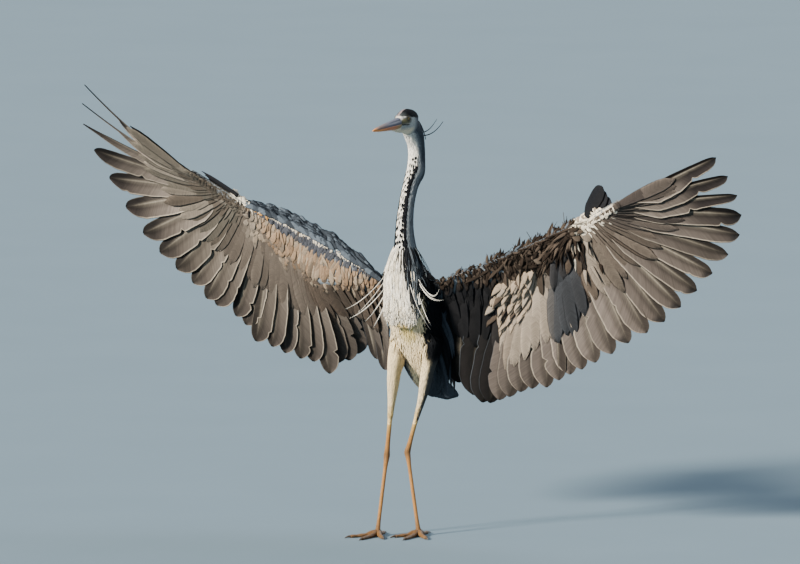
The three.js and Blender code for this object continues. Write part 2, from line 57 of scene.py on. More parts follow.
def in_frame(points):
    return np.asarray(points, float) / 1000 + BIRD_PLACE


def unit(vectors):
    return vectors / np.maximum(np.linalg.norm(vectors, axis=-1, keepdims=True), 1e-9)


def dot(a, b):
    return (a * b).sum(-1, keepdims=True)


def ease(low, high, value):
    t = np.clip((value - low) / (high - low), 0, 1)
    return t * t * (3 - 2 * t)


def flowing(rows, places):
    """Rows of a place and values there, read smoothly at other places."""
    rows = np.asarray(rows, float)
    at, values = rows[:, 0], rows[:, 1:]
    before = np.maximum(np.arange(len(at)) - 1, 0)
    after = np.minimum(np.arange(len(at)) + 1, len(at) - 1)
    slopes = (values[after] - values[before]) / (at[after] - at[before])[:, None]
    k = np.clip(np.searchsorted(at, places, side="right") - 1, 0, len(at) - 2)
    span = (at[k + 1] - at[k])[:, None]
    t = (np.asarray(places, float) - at[k])[:, None] / span
    return (
        values[k] * (2 * t**3 - 3 * t**2 + 1) + slopes[k] * span * (t**3 - 2 * t**2 + t)
        + values[k + 1] * (3 * t**2 - 2 * t**3) + slopes[k + 1] * span * (t**3 - t**2)
    )


def stationed(rows, step):
    """Rows of x, y, z and sizes, read smoothly every step along their line."""
    rows = np.asarray(rows, float)
    way = np.concatenate([[0], np.cumsum(np.linalg.norm(np.diff(rows[:, :3], axis=0), axis=1))])
    places = np.linspace(0, way[-1], max(int(way[-1] / step), 2))
    return flowing(np.column_stack([way, rows]), places)


def elliptic_rings(centres, sizes, lateral, sides):
    """Rings round these centres, each with its half width and half depth."""
    wide, deep = sizes.T
    ahead = unit(np.gradient(centres, axis=0))
    across = unit(lateral - ahead * dot(ahead, np.asarray(lateral, float)))
    through = np.cross(ahead, across)
    turn = 2 * math.pi * np.arange(sides) / sides
    return (
        centres[:, None]
        + across[:, None] * (wide[:, None] * np.cos(turn))[..., None]
        + through[:, None] * (deep[:, None] * np.sin(turn))[..., None]
    )


def placed(name, mesh):
    """A smooth mesh as a piece of the scene."""
    mesh.shade_smooth()
    piece = bpy.data.objects.new(name, mesh)
    bpy.context.collection.objects.link(piece)
    return piece


def tube(name, rings):
    """A closed mesh through rings of points, one after another, with its faces pointing out."""
    count, sides = rings.shape[:2]
    points = np.concatenate([rings.reshape(-1, 3), [rings[0].mean(0), rings[-1].mean(0)]])
    k, i = np.meshgrid(np.arange(count - 1), np.arange(sides), indexing="ij")
    a = (k * sides + i).ravel()
    b = (k * sides + (i + 1) % sides).ravel()
    walls = np.stack([a, b, b + sides, a + sides], -1)
    i = np.arange(sides)
    j = (i + 1) % sides
    last = (count - 1) * sides
    start = np.stack([np.full(sides, count * sides), j, i], -1)
    end = np.stack([np.full(sides, count * sides + 1), last + i, last + j], -1)
    caps = np.concatenate([start, end])
    corners = points[np.concatenate([walls[:, :3], walls[:, [0, 2, 3]], caps])]
    volume = (corners[:, 0] * np.cross(corners[:, 1], corners[:, 2])).sum()
    if volume < 0:
        walls = walls[:, ::-1]
        caps = caps[:, ::-1]
    mesh = bpy.data.meshes.new(name)
    mesh.from_pydata(in_frame(points).tolist(), [], walls.tolist() + caps.tolist())
    return placed(name, mesh)


def from_frame(points):
    return (np.asarray(points, float) - BIRD_PLACE) * 1000


def read_mesh(items, key, columns, kind=float):
    """One value, or one row of values, of each vertex, face or corner of a mesh."""
    found = np.empty(len(items) * columns, kind)
    items.foreach_get(key, found)
    return found.reshape(-1, columns)


def vertices(piece):
    """A piece's vertices in the bird's own frame."""
    return from_frame(read_mesh(piece.data.vertices, "co", 3))


def only(*pieces):
    """Selects these pieces alone, with the first one active."""
    bpy.ops.object.select_all(action="DESELECT")
    for piece in pieces:
        piece.select_set(True)
    bpy.context.view_layer.objects.active = pieces[0]


def joined(name, pieces):
    """These pieces as one."""
    only(*pieces)
    bpy.ops.object.join()
    piece = bpy.context.object
    piece.name = piece.data.name = name
    return piece


def apply_modifier(piece, kind, **settings):
    modifier = piece.modifiers.new(kind.lower(), kind)
    for key, value in settings.items():
        setattr(modifier, key, value)
    only(piece)
    bpy.ops.object.modifier_apply(modifier=modifier.name)


# Trunk, neck and head: X, Y, Z, half width and half depth over the feathers.
TRUNK = [
    (0, -48, 584, 26, 12), (0, -38, 564, 56, 32), (0, -20, 526, 66, 50), (0, 4, 484, 64, 60),
    (0, 27, 446, 63, 63), (0, 49, 408, 60, 61), (0, 71, 370, 55, 53), (0, 91, 334, 46, 42),
    (0, 108, 304, 30, 27), (0, 120, 283, 11, 11),
]
NECK = [
    (4, -38, 876, 18, 19), (5, -14, 860, 21.5, 28), (5, 6, 836, 19, 23), (4, 13, 797, 19, 22),
    (5, 4, 771, 20.5, 24), (2.5, -9, 756, 17.5, 20.5), (-1, -28, 714, 17, 20),
    (-1, -42, 671, 19, 22), (0, -46, 641, 21.5, 25),
    (0, -43, 613, 26.5, 30), (0, -42, 590, 35, 37), (0, -44, 562, 45, 42), (0, -50, 530, 48, 34),
    (-1, -54, 500, 47, 24), (-3, -56, 472, 42, 14), (-5, -53, 450, 30, 5),
]
HEAD_CENTRE = np.array([4.0, -64, 886])
HEAD_YAW = math.radians(5)
HEAD_PITCH = math.radians(2)
HEAD_AHEAD = np.array([
    -math.sin(HEAD_YAW) * math.cos(HEAD_PITCH),
    -math.cos(HEAD_YAW) * math.cos(HEAD_PITCH),
    -math.sin(HEAD_PITCH),
])
HEAD_LEFT = np.array([math.cos(HEAD_YAW), -math.sin(HEAD_YAW), 0])
HEAD_UP = np.cross(HEAD_AHEAD, HEAD_LEFT)
SKULL = [  # forwards, up, half width, half height
    (-54, 1, 9, 10), (-48, 0, 15, 18), (-34, -1, 19.5, 25), (-18, -3, 21, 29.5),
    (-2, -2, 20.5, 27), (11, -2, 17, 21), (20, -1.7, 13, 15.3), (26, -1, 10.5, 12.4),
]
CHIN = [(8, -14, 11, 9.5), (26, -13, 8, 8.4), (45, -10.8, 5.5, 5.4), (68, -9.6, 2.6, 2.6)]
TAIL_ROOT = np.array([0.0, 84, 352])
TAIL_TIP = np.array([0.0, 196, 268])
RUMP = [(-0.15, 20, 14), (0.25, 34, 16), (0.55, 28, 9), (0.72, 12, 5)]  # part of tail, wide, deep
COAT_DEPTH = {"trunk": 8, "neck": 3, "bib": 6, "head": 1.6, "chin": 1, "rump": 4, "thigh": 3.2}


def head_point(forwards, left, up):
    return (
        HEAD_CENTRE + np.multiply.outer(forwards, HEAD_AHEAD)
        + np.multiply.outer(left, HEAD_LEFT) + np.multiply.outer(up, HEAD_UP)
    )


def body_tube(name, rows, depth, lateral=(1, 0, 0)):
    line = stationed(rows, 6)
    sizes = np.maximum(line[:, 3:5] - depth, 2.5)
    return tube(name, elliptic_rings(line[:, :3], sizes, lateral, 32))


skull_rows = [(*head_point(f, 0, u), wide, deep) for f, u, wide, deep in SKULL]
chin_rows = [(*head_point(f, 0, u), wide, deep) for f, u, wide, deep in CHIN]
rump_rows = [(*(TAIL_ROOT + (TAIL_TIP - TAIL_ROOT) * t), wide, deep) for t, wide, deep in RUMP]
neck_line = stationed(NECK, 6)
neck_depth = np.interp(neck_line[:, 2], [540, 640], [COAT_DEPTH["bib"], COAT_DEPTH["neck"]])
neck_sizes = np.maximum(neck_line[:, 3:5] - neck_depth[:, None], 2.5)
neck_rings = elliptic_rings(neck_line[:, :3], neck_sizes, (1, 0, 0), 32)
skin_parts = [
    body_tube("trunk_skin", TRUNK, COAT_DEPTH["trunk"]),
    body_tube("skull_skin", skull_rows, COAT_DEPTH["head"], HEAD_LEFT),
    body_tube("chin_skin", chin_rows, COAT_DEPTH["chin"], HEAD_LEFT),
    body_tube("rump_skin", rump_rows, COAT_DEPTH["rump"]),
    tube("neck_skin", neck_rings),
]

# Each leg: where it leaves the body, two points down the feathered thigh, the bare shank's
# start, the ankle and the joint of the toes.
FOOT_HEIGHT = 12
LEGS = {
    "right": {
        "hip": (-38, 22, 408), "thigh": (-42, 0, 349), "calf": (-48, 2, 291),
        "bare": (-54, 5, 242), "ankle": (-64, 12, 165), "foot": (-60, -49, FOOT_HEIGHT),
    },
    "left": {
        "hip": (44, 20, 418), "thigh": (37, 0, 366), "calf": (21, 4, 294),
        "bare": (4, 8, 244), "ankle": (-18, 15, 174), "foot": (19, -15, FOOT_HEIGHT),
    },
}
THIGH_SIZES = [  # from hip, top of the thigh, calf and bare leg: half width, half depth
    (20, 30), (19, 27), (15.5, 20), (14, 17), (10.5, 12.5), (8.5, 9.5), (7.6, 8),
]
SIDES = {"right": -1, "left": 1}


def mixed(a, b, t):
    return np.asarray(a, float) * (1 - t) + np.asarray(b, float) * t


def thigh_rows(leg):
    places = [
        leg["hip"], mixed(leg["hip"], leg["thigh"], 0.6), leg["thigh"],
        mixed(leg["thigh"], leg["calf"], 0.5), leg["calf"],
        mixed(leg["calf"], leg["bare"], 0.5), leg["bare"],
    ]
    return [(*place, *size) for place, size in zip(places, THIGH_SIZES)]


skin_parts += [
    body_tube("thigh_skin", thigh_rows(leg), COAT_DEPTH["thigh"]) for leg in LEGS.values()
]

# Each wing: its joints, the tip of some of its flight feathers, counted from the outermost
# primary (0) to the innermost tertial (25), how many of the inner ones are tertials, the width and
# bow of the free outer ones, how far the front edge sags, and where the thumb's feathers end.
PRIMARIES = 10
FLIGHT_FEATHERS = 26
WINGS = {
    "right": {
        "shoulder": (-40, -10, 530), "front": (-44, -34, 538), "elbow": (-231, 10, 532),
        "wrist": (-382, -15, 683), "finger": (-487, -55, 754),
        "slack": 10, "finger_width": 32, "finger_bow": -26, "tertials": 4,
        "tips": [
            (0, -715, -90, 941), (2, -751, -12, 849), (4, -726, 72, 727), (6, -661, 104, 607),
            (9, -553, 114, 504), (13.5, -419, 116, 402), (18, -273, 128, 339),
            (21.3, -190, 146, 350), (22.8, -168, 146, 378), (25, -112, 118, 331),
        ],
        "thumb": ((-391, -22, 710), (-468, -37, 760)),
    },
    "left": {
        "shoulder": (40, -10, 530), "front": (44, -34, 538), "elbow": (231, 11, 542),
        "wrist": (396, -5, 678), "finger": (509.5, -105, 731),
        "slack": -9, "finger_width": 50, "finger_bow": 0, "tertials": 3,
        "tips": [
            (0, 767, -205, 851), (2, 802, -172, 770), (4, 782, -105, 680), (6, 693, -32, 588),
            (9, 565, 18, 476), (12.8, 414, 24, 386), (16.6, 305, 28, 332), (20.5, 192, 36, 297),
            (23, 143, 50, 282), (25, 78, 72, 320),
        ],
        "thumb": ((407, -17, 690), (455, -62, 765)),
    },
}
SHOULDER_HALF = 12  # half thickness of the feathered arm at the shoulder, and at the finger's end
FINGER_HALF = 3
COVERED = 0.4  # part of each flight feather that the small feathers cover
SAG = 6  # how far a flight feather bends up between its ends


class Wing:
    """The lines of one wing, read at any place from the outermost feather (0) to the body (26)."""

    def __init__(self, wing):
        bones = ("shoulder", "front", "elbow", "wrist", "finger")
        joints = {key: np.array(wing[key], float) for key in bones}
        index = np.arange(FLIGHT_FEATHERS)
        inner = FLIGHT_FEATHERS - PRIMARIES
        secondaries = inner - wing["tertials"]
        inward = index - PRIMARIES
        hand = ((PRIMARIES - index - 0.5) / (PRIMARIES - 0.2))[:, None]
        forearm = ((inward + 0.5) / secondaries)[:, None]
        upper = ((inward - secondaries + 0.5) / (wing["tertials"] + 1))[:, None]
        root = np.where(
            index[:, None] < PRIMARIES,
            mixed(joints["wrist"], joints["finger"], hand),
            np.where(
                inward[:, None] < secondaries,
                mixed(joints["wrist"], joints["elbow"], forearm),
                mixed(joints["elbow"], joints["shoulder"], upper),
            ),
        )
        tip = flowing(wing["tips"], index)
        outer_one = np.maximum(index - 1, 0)
        inner_one = np.minimum(index + 1, FLIGHT_FEATHERS - 1)
        span = tip[outer_one] - tip[inner_one] + root[outer_one] - root[inner_one]
        normal = unit(np.cross(span, tip - root))
        normal *= np.where(normal[:, 1:2] < 0, -1, 1)
        leading = unit(np.cross(tip - root, normal))
        leading *= np.where(dot(leading, span) < 0, -1, 1)
        to_front = joints["front"] - joints["wrist"]
        fold = (joints["elbow"] - joints["wrist"]) @ to_front / (to_front @ to_front)
        share = np.where(
            inward < secondaries,
            fold * (inward + 0.5) / secondaries,
            fold + (1 - fold) * (inward - secondaries + 0.5) / (wing["tertials"] + 1),
        )[:, None]
        bulge = wing["slack"] * np.sin(math.pi * share) * np.array([0, 0.5, 0.85])
        arm_edge = mixed(joints["wrist"] + (0, 0, 12), joints["front"], share) + bulge
        hand_line = unit(joints["finger"] - joints["wrist"])
        forwards = unit(np.array([0, 0, 1]) - hand_line * hand_line[2])
        edge = np.where(index[:, None] < PRIMARIES, root + forwards * 11, arm_edge)
        bow = wing["finger_bow"] * np.maximum(1 - index / 5, 0)
        away = np.array([math.copysign(0.25, joints["shoulder"][0]), 0.6, -0.9])
        self.tip = np.vstack([tip, joints["shoulder"] + 160 * away])
        self.root = np.vstack([root, joints["shoulder"]])
        self.edge = np.vstack([edge, joints["front"]])
        self.normal = np.vstack([normal, normal[-1]])
        self.leading = np.vstack([leading, leading[-1]])
        self.bow = np.append(bow, 0)
        self.half = FINGER_HALF + (SHOULDER_HALF - FINGER_HALF) * (
            np.arange(FLIGHT_FEATHERS + 1) / FLIGHT_FEATHERS) ** 1.3

    def read(self, line, place):
        values = getattr(self, line)
        places = np.arange(len(values))
        if values.ndim == 1:
            return np.interp(place, places, values)
        return np.stack([np.interp(place, places, column) for column in values.T], -1)

    def chord(self, place, part):
        """A point in the middle of the wing: part -1 is its front edge, 0 the bone, 1 a feather's tip."""
        place, part = np.broadcast_arrays(np.asarray(place, float), np.asarray(part, float))
        root, tip, edge = (self.read(line, place) for line in ("root", "tip", "edge"))
        ahead = np.maximum(-part, 0)[:, None]
        along = np.maximum(part, 0)[:, None]
        away = 4 * along * (1 - along)
        bend = self.read("leading", place) * self.read("bow", place)[:, None] * away
        sag = unit(self.read("normal", place)) * SAG * away
        return root * (1 - ahead - along) + edge * ahead + tip * along + bend + sag

    def thickness(self, place, part):
        """Half the thickness of the feathered arm at such a point."""
        half = self.read("half", place)
        stops = [-1, -0.4, 0, COVERED / 2, COVERED, 1]
        heights = [0 * half, 0.6 * half, half, 0.3 * half + 1.5, 0 * half + 1.4, 0 * half + 0.6]
        found = np.zeros_like(half)
        for a, b, low, high in zip(stops, stops[1:], heights, heights[1:]):
            share = (part - a) / (b - a)
            found = np.where((share >= 0) & (share <= 1), low + (high - low) * share, found)
        return found


wings = {side: Wing(wing) for side, wing in WINGS.items()}
ARM_FLESH = 0.55  # flesh as part of the feathered arm's thickness
ARM_CORNERS = [  # part of the chord, and which face of the arm
    (-0.97, 0), (-0.4, 1), (0, 1), (0.17, 1), (0.3, 0), (0.17, -1), (0, -1), (-0.4, -1),
]
for wing in wings.values():
    places = np.linspace(0, FLIGHT_FEATHERS, 60)
    corners = [
        wing.chord(places, part) + unit(wing.read("normal", places))
        * face * np.maximum(wing.thickness(places, part) * ARM_FLESH, 2)[:, None]
        for part, face in ARM_CORNERS
    ]
    skin_parts.append(tube("arm_skin", np.stack(corners, 1)))

SKIN_VOXEL = 0.0029
skin = joined("skin", skin_parts)
apply_modifier(skin, "REMESH", mode="VOXEL", voxel_size=SKIN_VOXEL)
apply_modifier(skin, "SMOOTH", factor=0.6, iterations=8)
# The jaw runs into the neck with no fold between them.
JAW = head_point(-26, 0, -24)
JAW_REACH = 38
near_jaw = np.flatnonzero(np.linalg.norm(vertices(skin) - JAW, axis=1) < JAW_REACH)
jaw = skin.vertex_groups.new(name="jaw")
jaw.add(near_jaw.tolist(), 1.0, "REPLACE")
apply_modifier(skin, "SMOOTH", factor=0.5, iterations=110, vertex_group="jaw")
hide = BVHTree.FromObject(skin, bpy.context.evaluated_depsgraph_get())


def nearest_on(surface, points):
    """The nearest places on a surface to these points, with the way out and the face at each."""
    hits = [surface.find_nearest(Vector(point)) for point in in_frame(points).tolist()]
    at = from_frame([list(hit[0]) for hit in hits])
    out = np.array([list(hit[1]) for hit in hits])
    return at, out, np.array([hit[2] for hit in hits])


# The bare legs: a knobbed tube from inside the thigh to the toes' joint, with overlapping plates
# down its front, and four toes that lie flat on the floor. All are welded to the skin.
SHANK_RADIUS = 4.6
ANKLE_RADIUS = 6.6
TARSUS_RADIUS = 4
PLATE_LENGTH = 4.2
PLATE_LIFT = 0.35
RING_STEP = 1.05
TOES = {  # direction from straight ahead towards the bird's outside, and length with no claw
    "inner": (-32, 60), "middle": (2, 82), "outer": (36, 68), "hind": (176, 42),
}
TOE_JOINT = 22  # from one knuckle to the next
KNUCKLE = 0.45


def plated(rings, centres, step, length, lift):
    """Rings with the upper or front side raised into plates that each overlap the next."""
    way = np.arange(len(rings)) * step
    rise = (way % length) / length
    out = unit(rings - centres[:, None])
    facing = np.sin(2 * math.pi * np.arange(rings.shape[1]) / rings.shape[1])
    return rings + out * (lift * rise[:, None] * ease(0.1, 0.6, facing))[..., None]


def leg_tube(leg):
    down = unit(np.subtract(leg["foot"], leg["ankle"]).astype(float))
    rows = [
        (*mixed(leg["bare"], leg["calf"], 0.55), 3.5, 4),
        (*leg["bare"], SHANK_RADIUS, SHANK_RADIUS + 0.6),
        (*mixed(leg["bare"], leg["ankle"], 0.6), SHANK_RADIUS, SHANK_RADIUS + 0.4),
        (*mixed(leg["bare"], leg["ankle"], 0.86), ANKLE_RADIUS * 0.85, ANKLE_RADIUS),
        (*leg["ankle"], ANKLE_RADIUS, ANKLE_RADIUS * 1.15),
        (*(leg["ankle"] + down * 10), ANKLE_RADIUS * 0.85, ANKLE_RADIUS * 0.95),
        (*mixed(leg["ankle"], leg["foot"], 0.18), TARSUS_RADIUS, TARSUS_RADIUS + 0.8),
        (*mixed(leg["ankle"], leg["foot"], 0.6), TARSUS_RADIUS * 0.95, TARSUS_RADIUS + 0.6),
        (*mixed(leg["ankle"], leg["foot"], 0.88), TARSUS_RADIUS, TARSUS_RADIUS + 0.4),
        (*leg["foot"], TARSUS_RADIUS + 1.6, TARSUS_RADIUS + 1.6),
    ]
    line = stationed(rows, RING_STEP)
    rings = elliptic_rings(line[:, :3], line[:, 3:5], (1, 0, 0), 20)
    return tube("leg", plated(rings, line[:, :3], RING_STEP, PLATE_LENGTH, PLATE_LIFT))


def toe_direction(turn, side):
    angle = math.radians(turn) * side
    return np.array([math.sin(angle), -math.cos(angle), 0])


def toe_tube(leg, turn, reach, side):
    ahead = toe_direction(turn, side)
    base = np.array([*leg["foot"][:2], 0])
    rows = [
        (*(base + ahead * distance + (0, 0, height)), wide, deep)
        for distance, height, wide, deep in [
            (-4, 9, 5, 5.5), (10, 8, 5.6, 6), (reach * 0.45, 3.9, 4.7, 4.5), (reach, 3.1, 3.2, 3.4),
        ]
    ]
    line = stationed(rows, RING_STEP)
    way = np.arange(len(line)) * RING_STEP
    knuckles = KNUCKLE * np.cos(2 * math.pi * way / TOE_JOINT)
    sizes = line[:, 3:5] + knuckles[:, None]
    rings = elliptic_rings(line[:, :3], sizes, np.cross(ahead, (0, 0, 1)), 14)
    rings = plated(rings, line[:, :3], RING_STEP, PLATE_LENGTH * 0.7, PLATE_LIFT * 0.8)
    rings[..., 2] = np.maximum(rings[..., 2], 0)
    return tube("toe", rings)


def weld(piece, other):
    apply_modifier(piece, "BOOLEAN", operation="UNION", solver="MANIFOLD", object=other)
    bpy.data.objects.remove(other)


for side, leg in LEGS.items():
    limb = leg_tube(leg)
    for turn, reach in TOES.values():
        weld(limb, toe_tube(leg, turn, reach, SIDES[side]))
    weld(skin, limb)
only(skin)
bpy.ops.object.mode_set(mode="EDIT")
bpy.ops.mesh.select_all(action="SELECT")
bpy.ops.uv.smart_project(angle_limit=math.radians(66), island_margin=0.001)
bpy.ops.object.mode_set(mode="OBJECT")
skin.data.uv_layers[0].name = "OFBake"
skin.data.shade_smooth()

# What the skin is like at each of its points: which part of the bird it lies on and which way the
# feathers lie there. The nearest of many balls, strung along each part's middle, says so.
skull_line = stationed(skull_rows[::-1], 5)
trunk_line = stationed(TRUNK, 8)
rump_line = stationed(rump_rows, 8)
PART_LINES = {
    "head": np.vstack([skull_line, stationed(chin_rows[::-1], 5)]),
    "neck": neck_line,
    "trunk": np.vstack([trunk_line, rump_line]),
    **{f"thigh_{side}": stationed(thigh_rows(leg), 6) for side, leg in LEGS.items()},
}
for side, leg in LEGS.items():
    limb_line = [(*leg["bare"], 3, 3), (*leg["ankle"], 5, 5), (*leg["foot"], 4, 4)]
    toe_ends = [
        (*(np.array([*leg["foot"][:2], 3]) + toe_direction(turn, SIDES[side]) * reach), 3, 3)
        for turn, reach in TOES.values()
    ]
    toes = [stationed([(*leg["foot"], 4, 4), end], 4) for end in toe_ends]
    PART_LINES[f"leg_{side}"] = np.vstack([stationed(limb_line, 4), *toes])
for side, wing in wings.items():
    places = np.repeat(np.linspace(0, 25.3, 60), 4)
    parts = np.tile([-0.75, -0.4, 0, 0.2], 60)
    PART_LINES[f"wing_{side}"] = np.column_stack([wing.chord(places, parts), np.full((240, 2), 9)])
PARTS = list(PART_LINES)
balls = np.vstack([line[:, :3] for line in PART_LINES.values()])
ball_size = np.concatenate([line[:, 3:5].mean(1) for line in PART_LINES.values()])
ball_part = np.concatenate([np.full(len(line), i) for i, line in enumerate(PART_LINES.values())])
ball_lay = unit(np.vstack([np.gradient(line[:, :3], axis=0) for line in PART_LINES.values()]))


def nearest_ball(points):
    found = []
    for some in np.array_split(points, max(len(points) // 4000, 1)):
        distance = np.linalg.norm(some[:, None] - balls, axis=2) - ball_size
        found.append(distance.argmin(1))
    return np.concatenate(found)


# ---- Markings ----
# The colours of a grey heron's coat, worked out at any point of any part of it, so that the skin
# and the feathers on it wear the same crown, neck dashes, breast and flanks. Some of them are
# painted shade or sheen, as said where each is made.
def colour(code):
    """A colour written as in a paint chart, made linear."""
    values = np.array([int(code[i:i + 2], 16) for i in (0, 2, 4)]) / 255
    return np.where(values <= 0.04045, values / 12.92, ((values + 0.055) / 1.055) ** 2.4)


WHITE = colour("f7f3ea")
CREAM = colour("f4dfb6")
STRAW = colour("cdb775")
PALE_GREY = colour("9ca3a8")
GREY = colour("687078")
SLATE = colour("3b424b")
BLACK = colour("101216")
PINK_GREY = colour("9c8a8d")
CHEEK_GREY = colour("8b9598")
OLIVE = colour("55533a")
BARE_LEG = colour("a9763a")
BARE_LEG_DARK = colour("5b442c")
BARE_LEG_PALE = colour("d0ae66")
NECK_TWIST = ([560, 600, 650, 720, 765, 800, 830], [0, -5, -10, -16, -20, -8, 0])  # height, degrees
CROWN_PARTING = -4  # where the crown's pale streak lies, towards the left
BELLY_TWIST = 6
FLANK_SHADE_SIDE = np.array([0.93, 0.37, 0])  # towards the side of the body that is painted in shade
FLANK_SHADE_EDGE = ([300, 340, 371, 400, 426, 470, 500], [12, 22, 29, 25, 20, 26, 34])  # height, how far that way the painted shade begins
THIGH_SHADE = np.array([0.93, 0.37])  # towards the side of each thigh that is painted in shade


def painted(under, mask, over):
    mask = np.clip(mask, 0, 1)[:, None]
    return under * (1 - mask) + over * mask


def band(value, centre, half, soft):
    return 1 - ease(half - soft, half + soft, np.abs(value - centre))


def head_place(points):
    """How far points lie forwards, left and up of the head's centre."""
    return ((points - HEAD_CENTRE) @ axis for axis in (HEAD_AHEAD, HEAD_LEFT, HEAD_UP))


def middle_at(line, heights):
    """The middle of a part at these heights, from a line whose points go downwards."""
    return np.stack([np.interp(heights, line[::-1, 2], line[::-1, i]) for i in (0, 1)], -1)


def head_marks(points):
    forwards, left, up = head_place(points)
    side = np.abs(left)
    found = np.tile(mixed(CHEEK_GREY, WHITE, 0.25), (len(points), 1))
    found = painted(found, ease(-9, -18, up) * ease(-30, -14, forwards), mixed(WHITE, CREAM, 0.6))
    # darker grey, then slate, towards the back of the head: partly its own grey and partly painted shade
    found = painted(found, ease(-6, -34, forwards), mixed(GREY, PALE_GREY, 0.3))
    found = painted(found, ease(-18, -44, forwards), SLATE)
    crown = ease(9, 11.5, up - 0.15 * forwards) * ease(18, 14, forwards)
    found = painted(found, crown, BLACK)
    # painted sheen: the front of the black crown lightened towards grey
    found = painted(found, crown * ease(-2, 14, forwards) * 0.25, CHEEK_GREY)
    streak = band(left, CROWN_PARTING, 2.8, 1.2) * ease(-22, -12, forwards) * ease(6, 11, up)
    found = painted(found, streak, mixed(WHITE, PINK_GREY, 0.9))
    found = painted(found, ease(15, 19, forwards) * ease(2, 6, up), WHITE)
    brow = band(up, 10.5 + 0.1 * forwards, 1, 0.8) * ease(-6, 0, forwards) * ease(7, 10, side)
    found = painted(found, brow * 0.8, WHITE)
    found = painted(found, ease(22, 28, forwards) * ease(-6, -9, up), mixed(WHITE, CREAM, 0.6))
    lores = ease(2, 5, forwards) * band(up, 3, 6, 1.5) * ease(6, 9, side)
    found = painted(found, lores, OLIVE)
    # painted shade in the hollow round the eye
    socket = ease(9, 7, np.hypot(forwards - 2.5, up - 7)) * ease(6, 9, side)
    found = painted(found, socket * 0.8, OLIVE * 0.4)
    gape = band(up, -3.6 + 0.07 * (forwards - 26), 1.2, 0.7) * ease(2, 6, forwards) * ease(5, 8, side)
    return painted(found, gape * 0.9, BLACK)


def straw_patch(points):
    """How far a point lies in the yellowish patch of down at the top of the belly."""
    away = np.hypot(points[:, 0] / 17, (points[:, 2] - 436) / 30)
    return ease(1.15, 0.7, away) * ease(0, -30, points[:, 1])


def neck_marks(points):
    z = points[:, 2]
    middle = middle_at(neck_line, z)
    around = np.degrees(np.arctan2(points[:, 0] - middle[:, 0], middle[:, 1] - points[:, 1]))
    around = around - np.interp(z, *NECK_TWIST)
    turn = np.where(around < 0, -around * np.interp(z, [770, 810], [1, 0.4]), around)
    throat = np.interp(z, [440, 500, 560, 620, 800, 850], [120, 90, 44, 30, 32, 24])
    blur = np.interp(z, [790, 840], [3, 14])
    found = np.tile(mixed(GREY, PALE_GREY, 0.3), (len(points), 1))
    found = painted(found, ease(70, 140, turn), SLATE)
    # painted shade: slate over the bird's left side of the upper neck, away from the light
    nape = np.interp(z, [800, 850, 880], [36, 24, 8])
    found = painted(found, ease(nape, nape + 45, around) * ease(770, 800, z) * 0.95, SLATE)
    found = painted(found, ease(throat + blur, throat - blur, turn), WHITE)
    found = painted(found, ease(464, 454, z), mixed(WHITE, CREAM, 0.7))
    found = painted(found, straw_patch(points) * 0.85, STRAW)
    ragged = 7.5 + 1.5 * np.sin(z / 4.1)
    line = band(turn, throat + 4, ragged, 2) * ease(812, 780, z) * ease(520, 560, z)
    return painted(found, line, BLACK)


def flank_shade_marks(found, points, chance):
    """Painted shade on the bird's left side, away from the window light: black over its flank and the top of
    the left thigh, and dark slate over the rump below it.
    """
    edge = np.interp(points[:, 2], *FLANK_SHADE_EDGE) + 5 * (chance - 0.5)
    dark = ease(-2, 3, points @ FLANK_SHADE_SIDE - edge) * ease(515, 490, points[:, 2])
    return painted(found, dark, mixed(SLATE * 0.7, BLACK, ease(350, 385, points[:, 2])[:, None]))


def trunk_marks(points, chance):
    z = points[:, 2]
    behind = middle_at(trunk_line, z)[:, 1] - points[:, 1]
    around = np.degrees(np.arctan2(points[:, 0], behind)) + BELLY_TWIST
    turn = np.abs(around) + 7 * (chance - 0.5)
    found = np.tile(mixed(GREY, PALE_GREY, 0.2), (len(points), 1))
    found = painted(found, ease(150, 120, turn), mixed(GREY, SLATE, 0.8))
    found = painted(found, ease(118, 90, turn), BLACK)
    belly = np.interp(z, [300, 340, 400, 470, 520], [40, 46, 50, 50, 50])
    found = painted(found, ease(belly + 6, belly - 6, turn), CREAM)
    found = painted(found, straw_patch(points) * 0.85, STRAW)
    # painted shade: dark slate over the sides of the rump, low under the body
    rear = ease(13, 25, np.abs(points[:, 0])) * ease(400, 350, z)
    found = painted(found, rear, mixed(GREY, SLATE, 0.85))
    found = painted(found, ease(515, 540, z) * ease(50, 70, turn) * ease(150, 120, turn), BLACK)
    return flank_shade_marks(found, points, chance)


def thigh_marks(points, chance, leg):
    z = points[:, 2]
    line = np.array([leg[key] for key in ("hip", "thigh", "calf", "bare")], float)
    out = unit(points[:, :2] - middle_at(line, z))
    found = np.tile(CREAM, (len(points), 1))
    found = painted(found, ease(290, 245, z) * 0.7, BARE_LEG_PALE)
    # painted shade on the side of each thigh away from the window light: slate and black on the left one,
    # dull straw-slate on the right one
    shade = ease(-0.25, 0.3, out @ THIGH_SHADE + 0.2 * (chance - 0.5))
    if leg["hip"][0] > 0:
        found = painted(found, shade * 0.95, mixed(SLATE, BLACK, 0.3))
        return painted(found, ease(362, 378, z), flank_shade_marks(found, points, chance))
    return painted(found, shade * 0.5, mixed(STRAW, SLATE, 0.35))


def leg_marks(points, leg):
    z = points[:, 2]
    found = np.tile(BARE_LEG, (len(points), 1))
    found = painted(found, ease(200, 245, z) * 0.85, BARE_LEG_PALE)
    ankle = np.exp(-((z - leg["ankle"][2]) / 14) ** 2)
    found = painted(found, ankle * 0.6, BARE_LEG_DARK)
    return painted(found, ease(60, 10, z) * 0.7, BARE_LEG_DARK)


